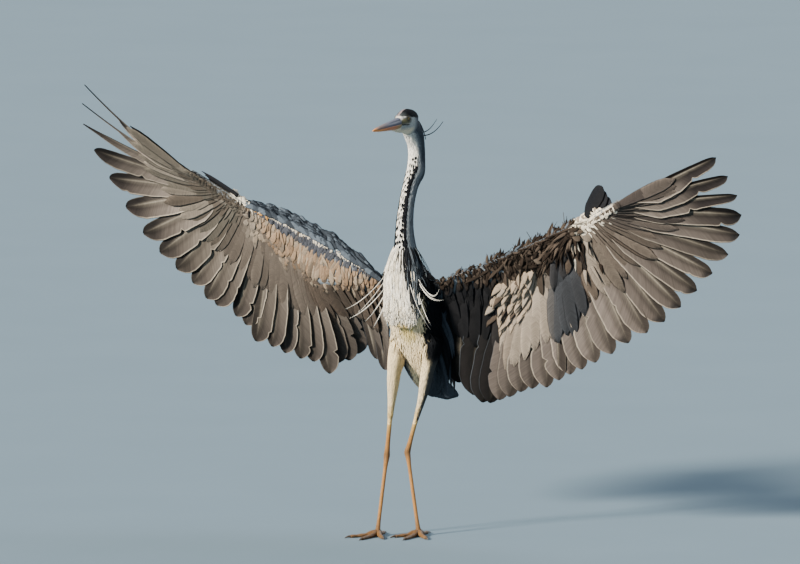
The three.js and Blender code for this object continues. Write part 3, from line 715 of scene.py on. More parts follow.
def marks(points, parts, chance):
    """The colour of the coat, or of bare skin, at points on these parts of the bird."""
    found = np.tile(GREY, (len(points), 1))
    for i, part in enumerate(PARTS):
        here = parts == i
        if not here.any():
            continue
        spots = points[here]
        kind, _, side = part.partition("_")
        if kind == "head":
            found[here] = head_marks(spots)
        elif kind == "neck":
            found[here] = neck_marks(spots)
        elif kind == "trunk":
            found[here] = trunk_marks(spots, chance[here])
        elif kind == "thigh":
            found[here] = thigh_marks(spots, chance[here], LEGS[side])
        elif kind == "leg":
            found[here] = leg_marks(spots, LEGS[side])
    return found


# The skin's finish: its markings, with pores over the hidden hide and fine cracks between the
# scales of the bare legs. Scaly skin is glossier than hide.
class Wire:
    """A socket of a material's nodes, with the arithmetic that adds Math nodes."""

    def __init__(self, finish, socket):
        self.finish = finish
        self.socket = socket

    def _maths(self, operation, *values):
        return self.finish.node("Math", {"operation": operation}, dict(enumerate(values)))

    def __add__(self, other):
        return self._maths("ADD", self, other)

    def __radd__(self, other):
        return self._maths("ADD", other, self)

    def __sub__(self, other):
        return self._maths("SUBTRACT", self, other)

    def __rsub__(self, other):
        return self._maths("SUBTRACT", other, self)

    def __mul__(self, other):
        return self._maths("MULTIPLY", self, other)

    def __rmul__(self, other):
        return self._maths("MULTIPLY", other, self)

    def __truediv__(self, other):
        return self._maths("DIVIDE", self, other)

    def __abs__(self):
        return self._maths("ABSOLUTE", self)

    def sine(self):
        return self._maths("SINE", self)

    def eased(self, low, high):
        """0 below low, 1 above high, and smooth between them."""
        settings = {"interpolation_type": "SMOOTHSTEP"}
        return self.finish.node("MapRange", settings, {0: self, 1: low, 2: high, 3: 0.0, 4: 1.0})


class Finish:
    """A material under construction, round one Principled shader."""

    def __init__(self, name, **constants):
        self.material = bpy.data.materials.new(name)
        self.material.use_nodes = True
        self.nodes = self.material.node_tree.nodes
        self.links = self.material.node_tree.links
        self.shader = self.nodes["Principled BSDF"]
        for key, value in constants.items():
            self.shader.inputs[key.replace("_", " ")].default_value = value

    def node(self, kind, settings, values, output=0):
        made = self.nodes.new("ShaderNode" + kind)
        for key, value in settings.items():
            setattr(made, key, value)
        for key, value in values.items():
            socket = made.inputs[key]
            if isinstance(value, Wire):
                self.links.new(value.socket, socket)
            else:
                socket.default_value = value
        return Wire(self, made.outputs[output])

    def attribute(self, name, output="Fac"):
        return self.node("Attribute", {"attribute_name": name}, {}, output)

    def place(self):
        return self.node("TexCoord", {}, {}, "Object")

    def split(self, vector):
        return [self.node("SeparateXYZ", {}, {0: vector}, i) for i in range(3)]

    def joined(self, x, y, z):
        return self.node("CombineXYZ", {}, {0: x, 1: y, 2: z})

    def noise(self, vector, scale, detail=2.0):
        return self.node("TexNoise", {}, {"Vector": vector, "Scale": scale, "Detail": detail})

    def scaled(self, vector, amount):
        return self.node("VectorMath", {"operation": "SCALE"}, {0: vector, "Scale": amount})

    def mix(self, share, a, b):
        return self.node("Mix", {"data_type": "RGBA"}, {0: share, 6: a, 7: b}, 2)

    def feeds(self, **inputs):
        for key, wire in inputs.items():
            self.links.new(wire.socket, self.shader.inputs[key.replace("_", " ")])

    def bump(self, height, distance):
        self.feeds(Normal=self.node("Bump", {}, {"Height": height, "Distance": distance}))


def store(piece, name, values, kind="FLOAT_COLOR"):
    """An attribute of a piece's mesh, one value for each vertex."""
    values = np.asarray(values, np.float32)
    if kind == "FLOAT_COLOR":
        values = np.column_stack([values.reshape(-1, 3), np.ones(values.size // 3)])
    layer = piece.data.attributes.new(name, kind, "POINT")
    key = {"FLOAT_COLOR": "color", "FLOAT_VECTOR": "vector", "FLOAT": "value"}[kind]
    layer.data.foreach_set(key, values.astype(np.float32).ravel())


skin_points = vertices(skin)
skin_balls = nearest_ball(skin_points)
skin_parts_here = ball_part[skin_balls]
rng = np.random.default_rng(11)
store(skin, "tint", marks(skin_points, skin_parts_here, np.full(len(skin_points), 0.5)))
bare = np.isin(skin_parts_here, [i for i, part in enumerate(PARTS) if part.startswith("leg")])
store(skin, "bare", bare, "FLOAT")

hide_finish = Finish("heron_hide", Specular_IOR_Level=0.35)
place = hide_finish.place()
bare_mask = hide_finish.attribute("bare")
scales = hide_finish.node("TexVoronoi", {"feature": "DISTANCE_TO_EDGE"}, {"Vector": place, "Scale": 620.0})
cracks = scales.eased(0.02, 0.16)
blotch = hide_finish.noise(place, 90.0, 4.0)
tint = hide_finish.attribute("tint", "Color")
worn = hide_finish.scaled(tint, 0.72 + blotch * 0.5)
cracked = hide_finish.scaled(worn, 1 - bare_mask * (1 - cracks) * 0.35)
hide_finish.feeds(Base_Color=cracked, Roughness=0.75 - bare_mask * 0.3)
hide_finish.bump(cracks * bare_mask + hide_finish.noise(place, 900.0) * 0.5, 0.0004)
skin.data.materials.clear()
skin.data.materials.append(hide_finish.material)
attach(skin, "root")
arm_nodes = [f"wing_{side}_{part}" for side in WINGS for part in ("upper_arm", "forearm", "hand")]
leg_nodes = [f"{part}_{side}" for side in LEGS for part in ("thigh", "shank", "tarsus", "foot")]
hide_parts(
    "trunk", "neck_upper", "neck_middle", "neck_lower", "head", "tail", *arm_nodes, *leg_nodes,
)

# ---- Coat ----
# Small feathers over head, neck, trunk and thighs: a thin closed blade each, rooted in the skin and
# lying back along it. They are short as velvet round the bill and long and loose low on the trunk.
# In the map OFBake every feather is a small patch at its root's place on the skin's own unwrap.
PATCH = 0.003


def blade(outline, rows, columns, camber, keel=0.0, bend=1.0):
    """The shape of one feather: where its rows and section points lie, as parts of its sizes.

    outline gives leading and trailing widths by part of length, or one width for both. columns is
    a number of points across, or where they lie from shaft to edge. camber drops both edges, keel
    raises the shaft, and bend crowds the rows towards the tip."""
    along = np.linspace(0, 1, rows) ** bend
    part, *widths = np.array(outline, float).T
    lead = np.interp(along, part, widths[0])[:, None]
    trail = np.interp(along, part, widths[-1])[:, None]
    if isinstance(columns, int):
        top = np.linspace(-1, 1, columns)
    else:
        top = np.concatenate([-np.array(columns[:0:-1]), columns])
        columns = len(top)
    column = np.concatenate([top, top[-2:0:-1]])
    upper = np.concatenate([np.ones(columns), np.zeros(columns - 2)])
    side = np.where(upper, 1, -1)
    edge = np.abs(column) ** 2
    rise = side * (1 - np.abs(column)) ** 0.5 - camber * edge
    rise = rise + side * keel * np.clip(1 - np.abs(column) * columns / 2.4, 0, 1)
    rise[[0, columns - 1]] = -camber
    across = np.where(column > 0, column * lead, column * trail)
    count = len(column)
    k, i = np.meshgrid(np.arange(rows - 1), np.arange(count), indexing="ij")
    a = (k * count + i).ravel()
    b = (k * count + (i + 1) % count).ravel()
    walls = np.stack([a, b, b + count, a + count], -1)
    inner = np.arange(1, columns - 2)
    strip = np.stack([inner, inner + 1, count - inner - 1, count - inner], -1).reshape(-1, 4)
    end = (rows - 1) * count
    quads = np.concatenate([walls, strip[:, ::-1], end + strip])
    ends = np.array([[0, 1, count - 1], [columns - 2, columns - 1, columns]])
    triangles = np.concatenate([ends[:, ::-1], end + ends])
    return {
        "along": along, "across": across, "rise": rise, "column": column, "upper": upper,
        "quads": quads, "triangles": triangles,
    }


def feathers(name, shape, paths, up, width, thick, tint, patch, leading=None, cut=None, chance=None):
    """A piece of many feathers of one shape. paths holds each one's root, bend and tip.

    up is the way out from the bird, patch each one's place in the map and its size there, leading
    the side that its narrow vane is on, and cut changes the vanes' widths."""
    root, middle, tip = (np.asarray(points, float) for points in paths)
    count = len(root)
    t = shape["along"][None, :, None]
    centre = root[:, None] * (1 - t) ** 2 + middle[:, None] * 2 * t * (1 - t) + tip[:, None] * t**2
    tangent = unit((middle - root)[:, None] * (1 - t) + (tip - middle)[:, None] * t)
    side = unit(np.cross(tangent, up[:, None]))
    turned = np.ones(count)
    if leading is not None:
        turned = np.where((side[:, 0] * leading).sum(-1) < 0, -1, 1)
    side = side * turned[:, None, None]
    raised = unit(np.cross(side, tangent)) * turned[:, None, None]
    width = np.broadcast_to(width, count)[:, None, None]
    thick = np.broadcast_to(thick, count)[:, None, None]
    across = np.broadcast_to(shape["across"], (count, *shape["across"].shape)) * width
    rise = np.broadcast_to(shape["rise"], (count, *shape["rise"].shape[-1:]))[:, None] * thick
    if cut:
        across = cut(across)
    points = (
        centre[:, :, None] + side[:, :, None] * across[..., None]
        + raised[:, :, None] * rise[..., None]
    )
    rows, corners = shape["across"].shape
    size = rows * corners
    offset = (np.arange(count) * size)[:, None, None]
    quads = shape["quads"][None] + offset
    triangles = shape["triangles"][None] + offset
    flip = turned > 0
    quads[flip] = quads[flip][..., ::-1]
    triangles[flip] = triangles[flip][..., ::-1]
    mesh = bpy.data.meshes.new(name)
    mesh.vertices.add(count * size)
    mesh.vertices.foreach_set("co", in_frame(points).ravel())
    loops = np.concatenate([quads.ravel(), triangles.ravel()])
    starts = np.concatenate([np.arange(0, quads.size, 4), np.arange(quads.size, len(loops), 3)])
    mesh.loops.add(len(loops))
    mesh.loops.foreach_set("vertex_index", loops)
    mesh.polygons.add(len(starts))
    mesh.polygons.foreach_set("loop_start", starts)
    mesh.update(calc_edges=True)
    mesh.validate()
    piece = placed(name, mesh)
    if chance is None:
        chance = rng.random(count)
    length = np.linalg.norm(tip - root, axis=1)[:, None, None]
    column = np.broadcast_to(shape["column"], across.shape)
    along = np.broadcast_to(shape["along"][None, :, None], across.shape)
    upper = np.broadcast_to(shape["upper"], across.shape)
    share = np.broadcast_to(chance[:, None, None], across.shape)
    if callable(tint):
        tint = tint(along, column, upper, share)
    else:  # one colour for each feather, or for each row of points along it
        tint = np.broadcast_to(tint.reshape(count, -1, 1, 3), (*across.shape, 3))
    store(piece, "tint", tint)
    store(piece, "barb", np.stack([along * length / 1000, across / 1000, share], -1), "FLOAT_VECTOR")
    spot = np.stack([across / (2 * width), along - 0.5], -1) * patch[1] + patch[0][:, None, None]
    layer = mesh.uv_layers.new(name="OFBake")
    corner = read_mesh(mesh.loops, "vertex_index", 1, int)[:, 0]
    layer.data.foreach_set("uv", spot.reshape(-1, 2)[corner].ravel())
    return piece


def settle(piece, finish, slot, *nodes):
    """Gives a finished piece its material and its body, and hides the nodes it stands for. slot is not used.
    """
    piece.data.materials.append(finish.material)
    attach(piece, "root")
    if nodes:
        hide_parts(*nodes)


def plumage_finish(name, streak, barb_pitch, depth, roughness=0.72, contrast=0.9):
    """Feather: its own tint, uneven from barb to barb, and ribbed by the barbs along their slope.

    streak is how fine the unevenness is, barb_pitch from barb to barb, and depth the relief."""
    finish = Finish(name, Roughness=roughness, Specular_IOR_Level=0.08)
    along, across, share = finish.split(finish.attribute("barb", "Vector"))
    slope = along - abs(across) * 0.9
    lane = finish.joined(slope * streak, across * streak * 0.08, share * 40.0)
    uneven = finish.noise(lane, 1.0, 3.0)
    barbs = (slope * (2 * math.pi / barb_pitch)).sine()
    tint = finish.attribute("tint", "Color")
    finish.feeds(Base_Color=finish.scaled(tint, 1 + (uneven - 0.5) * contrast + barbs * 0.06))
    finish.bump(barbs * 0.4 + uneven, depth)
    return finish


skin.data.calc_loop_triangles()
triangle_corners = read_mesh(skin.data.loop_triangles, "vertices", 3, int)
triangle_loops = read_mesh(skin.data.loop_triangles, "loops", 3, int)
skin_map = read_mesh(skin.data.uv_layers["OFBake"].data, "uv", 2)
skin_normals = read_mesh(skin.data.vertices, "normal", 3)
whole_hide = BVHTree.FromObject(skin, bpy.context.evaluated_depsgraph_get())
first_corners = read_mesh(skin.data.polygons, "loop_start", 1, int)[:, 0]
TRIES_EACH = 7  # chances for each cell of the grid to get a feather


def nearest_skin_map(points):
    """The place on the skin's unwrap nearest to each of these points."""
    return skin_map[first_corners[nearest_on(whole_hide, points)[2]]]


def laid(ball, out):
    """The way that feathers lie on the skin by these balls, where out is the way out of it."""
    lay = ball_lay[ball]
    return unit(lay - out * dot(lay, out))


def sown(kind, spacing, keep):
    """Feather roots spread evenly over one kind of part, one to each cell of a fine grid."""
    wanted = [i for i, part in enumerate(PARTS) if part.startswith(kind)]
    faces = np.flatnonzero(np.isin(skin_parts_here[triangle_corners[:, 0]], wanted))
    corners = skin_points[triangle_corners[faces]]
    a, b, c = corners.transpose(1, 0, 2)
    area = np.linalg.norm(np.cross(b - a, c - a), axis=1) / 2
    tries = int(area.sum() / spacing**2 * TRIES_EACH)
    chosen = rng.choice(len(faces), tries, p=area / area.sum())
    share = rng.random((tries, 2))
    share[share.sum(1) > 1] = 1 - share[share.sum(1) > 1]
    weights = np.column_stack([1 - share.sum(1), share])[..., None]
    points = (corners[chosen] * weights).sum(1)
    cells = np.floor(points / spacing).astype(int)
    _, first = np.unique(cells, axis=0, return_index=True)
    first.sort()
    points, weights, chosen = points[first], weights[first], faces[chosen[first]]
    if keep is not None:
        kept = keep(points)
        points, weights, chosen = points[kept], weights[kept], chosen[kept]
    outward = unit((skin_normals[triangle_corners[chosen]] * weights).sum(1))
    spots = (skin_map[triangle_loops[chosen]] * weights).sum(1)
    ball = nearest_ball(points)
    lay = laid(ball, outward)
    return {"at": points, "out": outward, "lay": lay, "spot": spots, "part": ball_part[ball]}


def laid_paths(roots, length, lift, tip_lift, stray):
    """Root, bend and tip of feathers that follow the skin, lifted off it along the way."""
    at, out, lay = roots["at"], roots["out"], roots["lay"]
    side = np.cross(out, lay)
    lay = unit(lay + side * stray[:, None])
    sizes = (length, lift, tip_lift)
    length, lift, tip_lift = (np.broadcast_to(one, len(at))[:, None] for one in sizes)
    on_skin = nearest_on(hide, at + lay * length)[0]
    tip = on_skin + out * tip_lift
    middle = (at + on_skin) / 2 + out * (lift * 2 - tip_lift / 2)
    return at - out * 0.4, middle, tip


VANE_LONG = [(0, 0.25), (0.3, 0.45), (0.7, 0.4), (0.9, 0.22), (1, 0.03)]
VANE_ROUND = [(0, 0.2), (0.35, 0.46), (0.75, 0.5), (0.93, 0.32), (1, 0.06)]
WISP = [(0, 0.3), (0.35, 0.5), (0.7, 0.3), (0.9, 0.1), (1, 0.01)]
hair_blade = blade(WISP, 4, 3, camber=1.6)
short_blade = blade(VANE_LONG, 4, 3, camber=1.4)
body_blade = blade(WISP, 4, 3, camber=2.2)
velvet_finish = plumage_finish("short_plumage", streak=900.0, barb_pitch=0.0008, depth=0.0002)
loose_finish = plumage_finish("loose_plumage", streak=420.0, barb_pitch=0.0012, depth=0.0004)


def clear_of_face(points):
    """True away from the eyes, the bill's base and the bare skin between them."""
    forwards, left, up = head_place(points)
    eye = np.hypot(forwards - 2.5, up - 7.2) < 7
    lores = (forwards > 4) & (up < 8) & (up > -3)
    return ~((eye | lores) & (np.abs(left) > 4)) & ((forwards < 25) | (up < -9))


def coat(
    name, part, shape, finish, slot, spacing, length, width, lift, tip_lift, keep=None, stray=0.12,
    fine=False,
):
    """A coat of small feathers. Each has one colour, or with fine the marks of the place under it."""
    roots = sown(part, spacing, keep)
    count = len(roots["at"])
    chance = rng.random(count)
    size = length(roots["at"]) if callable(length) else length
    size = size * (0.8 + 0.4 * rng.random(count))
    paths = laid_paths(roots, size, lift, tip_lift, rng.normal(0, stray, count))
    places = shape["along"] if fine else np.array([0.6])
    spots = roots["at"][:, None] + roots["lay"][:, None] * size[:, None, None] * places[:, None]
    spot_parts, spot_chance = (values.repeat(len(places)) for values in (roots["part"], chance))
    tint = marks(spots.reshape(-1, 3), spot_parts, spot_chance).reshape(count, -1, 3)
    tint = tint * (0.84 + 0.32 * rng.random(count))[:, None, None]
    piece = feathers(
        name, shape, paths, roots["out"], width, 0.16, tint, (roots["spot"], PATCH), chance=chance,
    )
    settle(piece, finish, slot)


def head_length(points):
    forwards = (points - HEAD_CENTRE) @ HEAD_AHEAD
    return np.interp(forwards, [-40, 0, 22], [10, 6.5, 3.4])


def above_bib(points):
    return (points[:, 2] > 585) | (points[:, 1] > -30)


coat("head_coat", "head", short_blade, velvet_finish, "white_feathers", spacing=1.4,
     length=head_length, width=1.8, lift=0.8, tip_lift=0.7, keep=clear_of_face, fine=True)
coat("neck_coat", "neck", hair_blade, velvet_finish, "grey_feathers", spacing=2.6,
     length=15, width=3.1, lift=1.8, tip_lift=1.6, keep=above_bib, fine=True)


# Black feathers down the front of the neck: four columns of single dashes and, at each side of
# the white, a ragged line.
DASHES = [  # degrees from the front, pitch, from height to height, width, length
    (6, 13, 612, 812, 3.4, 12), (-9, 16, 620, 800, 3.2, 12), (19, 8.5, 606, 812, 3.8, 12),
    (-22, 18, 612, 790, 3.0, 11), (33, 4.2, 560, 792, 5.0, 14), (36, 6, 575, 770, 4.4, 14),
    (-34, 4.6, 575, 780, 4.4, 13),
]
NECK_OUTSIDE = 24  # from the neck's middle to just outside its skin


def neck_roots(angles, heights):
    """Feather roots on the neck at these angles round from its front and at these heights."""
    turn = np.radians(angles + np.interp(heights, *NECK_TWIST))
    around = NECK_OUTSIDE * np.column_stack([np.sin(turn), -np.cos(turn)])
    outside = np.column_stack([middle_at(neck_line, heights) + around, heights])
    at, out, _ = nearest_on(whole_hide, outside)
    return {"at": at, "out": out, "lay": laid(nearest_ball(at), out), "spot": nearest_skin_map(at)}


def dash_feathers():
    columns = []
    for angle, pitch, low, high, width, length in DASHES:
        height = np.arange(low, high, pitch)
        height = (height + rng.normal(0, pitch * 0.12, len(height))).repeat(2)
        angles = angle + rng.normal(0, 1.6, len(height))
        columns.append(np.stack([angles, height, np.full_like(height, width), np.full_like(height, length)]))
    angles, heights, widths, lengths = np.concatenate(columns, axis=1)
    roots = neck_roots(angles, heights)
    lengths = lengths * rng.uniform(0.8, 1.15, len(lengths))
    paths = laid_paths(roots, lengths, 2.5, 2.4, rng.normal(0, 0.12, len(lengths)))
    tint = BLACK * rng.uniform(0.8, 1.6, (len(lengths), 1))
    patches = (roots["spot"], PATCH)
    piece = feathers("neck_dashes", dash_blade, paths, roots["out"], widths, 0.16, tint, patches)
    settle(piece, velvet_finish, "black_feathers")


dash_blade = blade(VANE_LONG, 5, 3, camber=1.2)
dash_feathers()


def trunk_length(points):
    return np.interp(points[:, 2], [290, 420, 560], [38, 34, 28])


coat("trunk_coat", "trunk", body_blade, loose_finish, "grey_feathers", spacing=4.2,
     length=trunk_length, width=4.8, lift=3.4, tip_lift=2.4, stray=0.2)
coat("thigh_coat", "thigh", hair_blade, loose_finish, "cream_feathers", spacing=2.3,
     length=19, width=2.6, lift=2, tip_lift=1.7, fine=True)

# ---- Flight feathers ----
# Ten primaries on each hand, then secondaries on the forearm and tertials by the body: stiff vanes
# on a shaft, each one's trailing side lying under the next feather inwards, with square-cut tips.
# The right wing's first two end in thin whips, and the left wing's first three are broad fingers.
VANE_TWIST = math.radians(8)  # of each feather's face from the wing's, so that they overlap
QUILL = [  # the start of every outline: part of length, leading and trailing width
    (0, 0.03, 0.03), (0.1, 0.06, 0.08), (0.22, 0.2, 0.45),
]
FINGERED = QUILL + [
    (0.33, 0.16, 0.74), (0.55, 0.17, 0.7), (0.68, 0.16, 0.5), (0.88, 0.14, 0.38),
    (0.95, 0.12, 0.28), (0.98, 0.08, 0.17), (1, 0.02, 0.04),
]
WHIPPED = QUILL + [
    (0.33, 0.12, 0.7), (0.5, 0.1, 0.62), (0.6, 0.08, 0.35), (0.68, 0.06, 0.1),
    (0.85, 0.045, 0.05), (1, 0.015, 0.015),
]
ANGLED = QUILL + [
    (0.33, 0.3, 0.64), (0.63, 0.34, 0.72), (0.84, 0.33, 0.68), (0.92, 0.31, 0.54),
    (0.965, 0.24, 0.34), (0.99, 0.12, 0.14), (1, 0.03, 0.04),
]
POINTED = QUILL + [
    (0.33, 0.16, 0.7), (0.6, 0.16, 0.66), (0.78, 0.14, 0.45), (0.9, 0.08, 0.2), (1, 0.015, 0.02),
]
OUTLINES = {
    "right": [(WHIPPED, 2), (POINTED, 1), (ANGLED, 23)],
    "left": [(FINGERED, 3), (ANGLED, 23)],
}
FREE_FEATHERS = 3  # primaries that stand apart, and have a width of their own
VANE_WIDTH = (48, 0.3)  # of the other feathers: the first one's, and how much more each next one has
VANE_ROWS = 40
TIP_STRAY = {"right": 5, "left": 2.5}  # how unevenly the secondaries' tips lie
PARTED_SHARE = 0.6  # of the feathers have a place where the barbs have parted
VANE_PLACES = [0, 0.1, 0.3, 0.52, 0.72, 0.88, 0.955, 1]  # section points from shaft to edge
BEIGE = colour("8d8377")
BROWN_GREY = colour("6f665f")
DARK_TIP = colour("2c2727")
TAN = colour("a3968e")
TAUPE = colour("6b625c")
INK = colour("17181b")
SHAFT_PALE = colour("c4b9a8")
FLIGHT_SLATE = colour("32383f")
TERTIAL_GREY = colour("767f8a")
PALE_FRINGE = colour("cdc0ae")


def over(under, mask, paint):
    """As painted, over arrays of any shape."""
    mask = np.clip(mask, 0, 1)[..., None]
    return under * (1 - mask) + paint * mask


def flight_tint(side, index):
    """The colour over each flight feather of a wing, below and above."""
    index = index[:, None, None]
    hand = ease(9, 5, index)
    inmost = ease(20, 24, index)
    overlap_shade = {"right": 0.72, "left": 0.84}  # painted shade: how much darker the leading vane is than the other, where the next feather overlaps it

    def right_below(along, column, share):
        found = over(np.ones((*along.shape, 3)) * BEIGE, ease(7, 12, index) * 0.6 + share * 0.3, BROWN_GREY)
        found = over(found, ease(0.5, 0.2, along) * 0.3, PALE_FRINGE)
        found = over(found, hand * 0.5, TAN)
        found = over(found, ease(0.42, 0.85, along) * (0.5 + 0.25 * hand), DARK_TIP)
        tipped = ease(0.74, 0.9, along + 0.05 * column) * (0.2 + 0.3 * ease(20, 14, index) + 0.3 * hand)
        found = over(found, tipped, DARK_TIP * 0.7)
        return over(found, ease(1.2, 0.8, index) * ease(0.5, 0.62, along), INK)

    def left_below(along, column, share):
        found = over(np.ones((*along.shape, 3)) * TAN, 0.15 + share * 0.4, TAUPE)
        found = over(found, ease(0.5, 0.15, along) * 0.3, PALE_FRINGE)
        found = over(found, ease(0.4, 0.95, along) * 0.45, TAUPE * 0.8)
        found = over(found, ease(15, 18, index) * 0.75, TAUPE * 0.65)
        found = over(found, ease(11, 8, index) * (0.6 + 0.25 * ease(0.4, 0.9, along)), TAUPE * 0.6)
        fingers = ease(3.6, 2.4, index)
        found = over(found, fingers * np.maximum(ease(0.5, 0.7, along), ease(-0.5, -0.1, column)), DARK_TIP)
        found = over(found, ease(4.6, 3.4, index) * ease(0.72, 0.92, along), DARK_TIP)
        # painted shadows in the corners of the left primaries' tips, between the feathers
        corner = ease(0.9, 0.96, along) * ease(0.2, -0.4, column) * ease(14, 12, index)
        found = over(found, corner * 0.85 * (share > 0.3), INK)
        # painted shade: the left wing's innermost feathers made near black, by the body
        return over(found, ease(21, 22, index) * 0.98, INK * 0.5)

    def tint(along, column, upper, share):
        share = share[..., :1] * np.ones(along.shape)
        below = (right_below if side == "right" else left_below)(along, column, share)
        # painted shade on the innermost feathers, by the body
        below = over(below, inmost * 0.2 * ease(0.2, 0.8, along), DARK_TIP)
        fringe = ease(0.9, 0.97, np.abs(column)) * (1 - 0.6 * hand * ease(0.8, 0.95, along))
        below = over(below, fringe * 0.75 * ease(21, 18, index), PALE_FRINGE)
        # a painted shadow line along the trailing side, where the next feather's edge lies
        below = over(below, band(column, -0.8, 0.08, 0.1) * 0.35, DARK_TIP)
        # painted shade over the leading vane, under the neighbouring feather's edge
        below = below * (1.12 - overlap_shade[side] * ease(-0.8, 0.0, column))[..., None]
        above = over(np.ones((*along.shape, 3)) * FLIGHT_SLATE, ease(0.6, 1, along) * 0.5, INK)
        above = over(above, inmost * 0.8, TERTIAL_GREY)
        both = over(below, upper, above)
        shaft = ease(0.14, 0.04, np.abs(column)) * ease(1.0, 0.7, along)
        return over(both, shaft * (0.45 - 0.25 * upper), SHAFT_PALE) * (0.45 + 0.38 * share[..., None])

    return tint


def parted(across):
    """The trailing vane notched where its barbs have parted."""
    across = across.copy()
    count, rows, _ = across.shape
    for feather in np.flatnonzero(rng.random(count) < PARTED_SHARE):
        row = rng.integers(rows // 2, rows - 5)
        depth = rng.uniform(0.08, 0.3)
        trailing = across[feather, row] < 0
        across[feather, row, trailing] *= 1 - depth
        across[feather, row + 1, trailing] *= 1 - depth * 0.3
    waver = np.cumsum(rng.normal(0, 0.01, (count, rows, 1)), axis=1)
    return across * (1 + waver - waver.mean(1, keepdims=True))


flight_finish = plumage_finish(
    "flight_plumage", streak=300.0, barb_pitch=0.0016, depth=0.0005, roughness=0.6, contrast=1.0,
)
SHEET = (0.036, 0.9)  # a whole vane is too long for a patch: each has a strip of its map of its own
for side, wing in wings.items():
    strips = []
    start = 0
    for outline, number in OUTLINES[side]:
        index = np.arange(start, start + number)
        start += number
        root = wing.root[index]
        stray = rng.normal(0, TIP_STRAY[side], (number, 3)) * ease(8, 11, index)[:, None]
        tip = wing.tip[index] + stray
        normal, leading = wing.normal[index], wing.leading[index]
        middle = mixed(root, tip, 0.5) + 2 * (leading * wing.bow[index][:, None] + normal * SAG)
        up = normal * math.cos(VANE_TWIST) - leading * math.sin(VANE_TWIST)
        width = VANE_WIDTH[0] + VANE_WIDTH[1] * index
        width = np.where(index < FREE_FEATHERS, WINGS[side]["finger_width"], width)
        shape = blade(outline, VANE_ROWS, VANE_PLACES, camber=6, keel=2, bend=0.85)
        spot = np.column_stack([(index + 0.5) / FLIGHT_FEATHERS, np.full(number, 0.5)])
        strips.append(feathers(
            f"{side}_vanes", shape, (root, middle, tip), up, width, thick=0.3,
            tint=flight_tint(side, index), patch=(spot, SHEET), leading=leading, cut=parted,
        ))
    vanes = joined(f"flight_feathers_{side}", strips)
    settle(vanes, flight_finish, "underwing_feathers", *[node for node in arm_nodes if side in node])

# ---- Wing coverts ----
# Rows of small feathers over both faces of each wing, from long greater coverts over the quills
# to scale-like marginal ones round the front edge. Each row lies over the roots of the one behind,
# and the wind has ruffled those under the left wing.
UNDER_ROWS = [  # from part to part of the chord, places apart, width
    (0.06, 0.53, 0.62, 30), (0.0, 0.41, 0.56, 27), (-0.1, 0.28, 0.5, 23), (-0.22, 0.16, 0.42, 19),
    (-0.36, 0.05, 0.38, 16), (-0.5, -0.1, 0.34, 14), (-0.63, -0.26, 0.3, 12),
    (-0.76, -0.46, 0.26, 10.5), (-0.9, -0.66, 0.22, 8), (-0.97, -0.8, 0.17, 6), (-1.0, -0.9, 0.13, 4),
]
LONG_COVERTS = (0.12, 0.66, 0.6, 30, 13, 22.4)  # the left wing's lowest row, between two places
UPPER_ROWS = [
    (0.02, 0.5, 0.5, 24), (-0.08, 0.36, 0.44, 21), (-0.24, 0.22, 0.4, 18), (-0.4, 0.06, 0.36, 16),
    (-0.54, -0.1, 0.32, 15), (-0.68, -0.26, 0.3, 13), (-0.8, -0.44, 0.26, 12),
    (-0.92, -0.6, 0.22, 10), (-1.0, -0.76, 0.2, 8),
]
COVERT_EXTRA = (2, 9)  # how far a marginal and a greater covert reach past their part of the chord
LESSER = -0.05  # the part of the chord short of which the feathers are small and scale-like
greater_blade = blade(VANE_ROUND, 8, [0, 0.35, 0.75, 1], camber=2.8, keel=0.8)
lesser_blade = blade(VANE_ROUND, 5, [0, 0.6, 1], camber=1.3, keel=0.3)
BUFF = colour("8c7158")
SANDY = colour("9c8c7a")
COVERT_BEIGE = colour("585049")
COVERT_PALE = colour("8d8276")
COVERT_BROWN = colour("4c423a")
HAND_BEIGE = colour("59544c")
WARM_WHITE = colour("e9dfcd")
ORANGE_BUFF = colour("b98a4c")
DARK_BROWN = colour("261f1a")
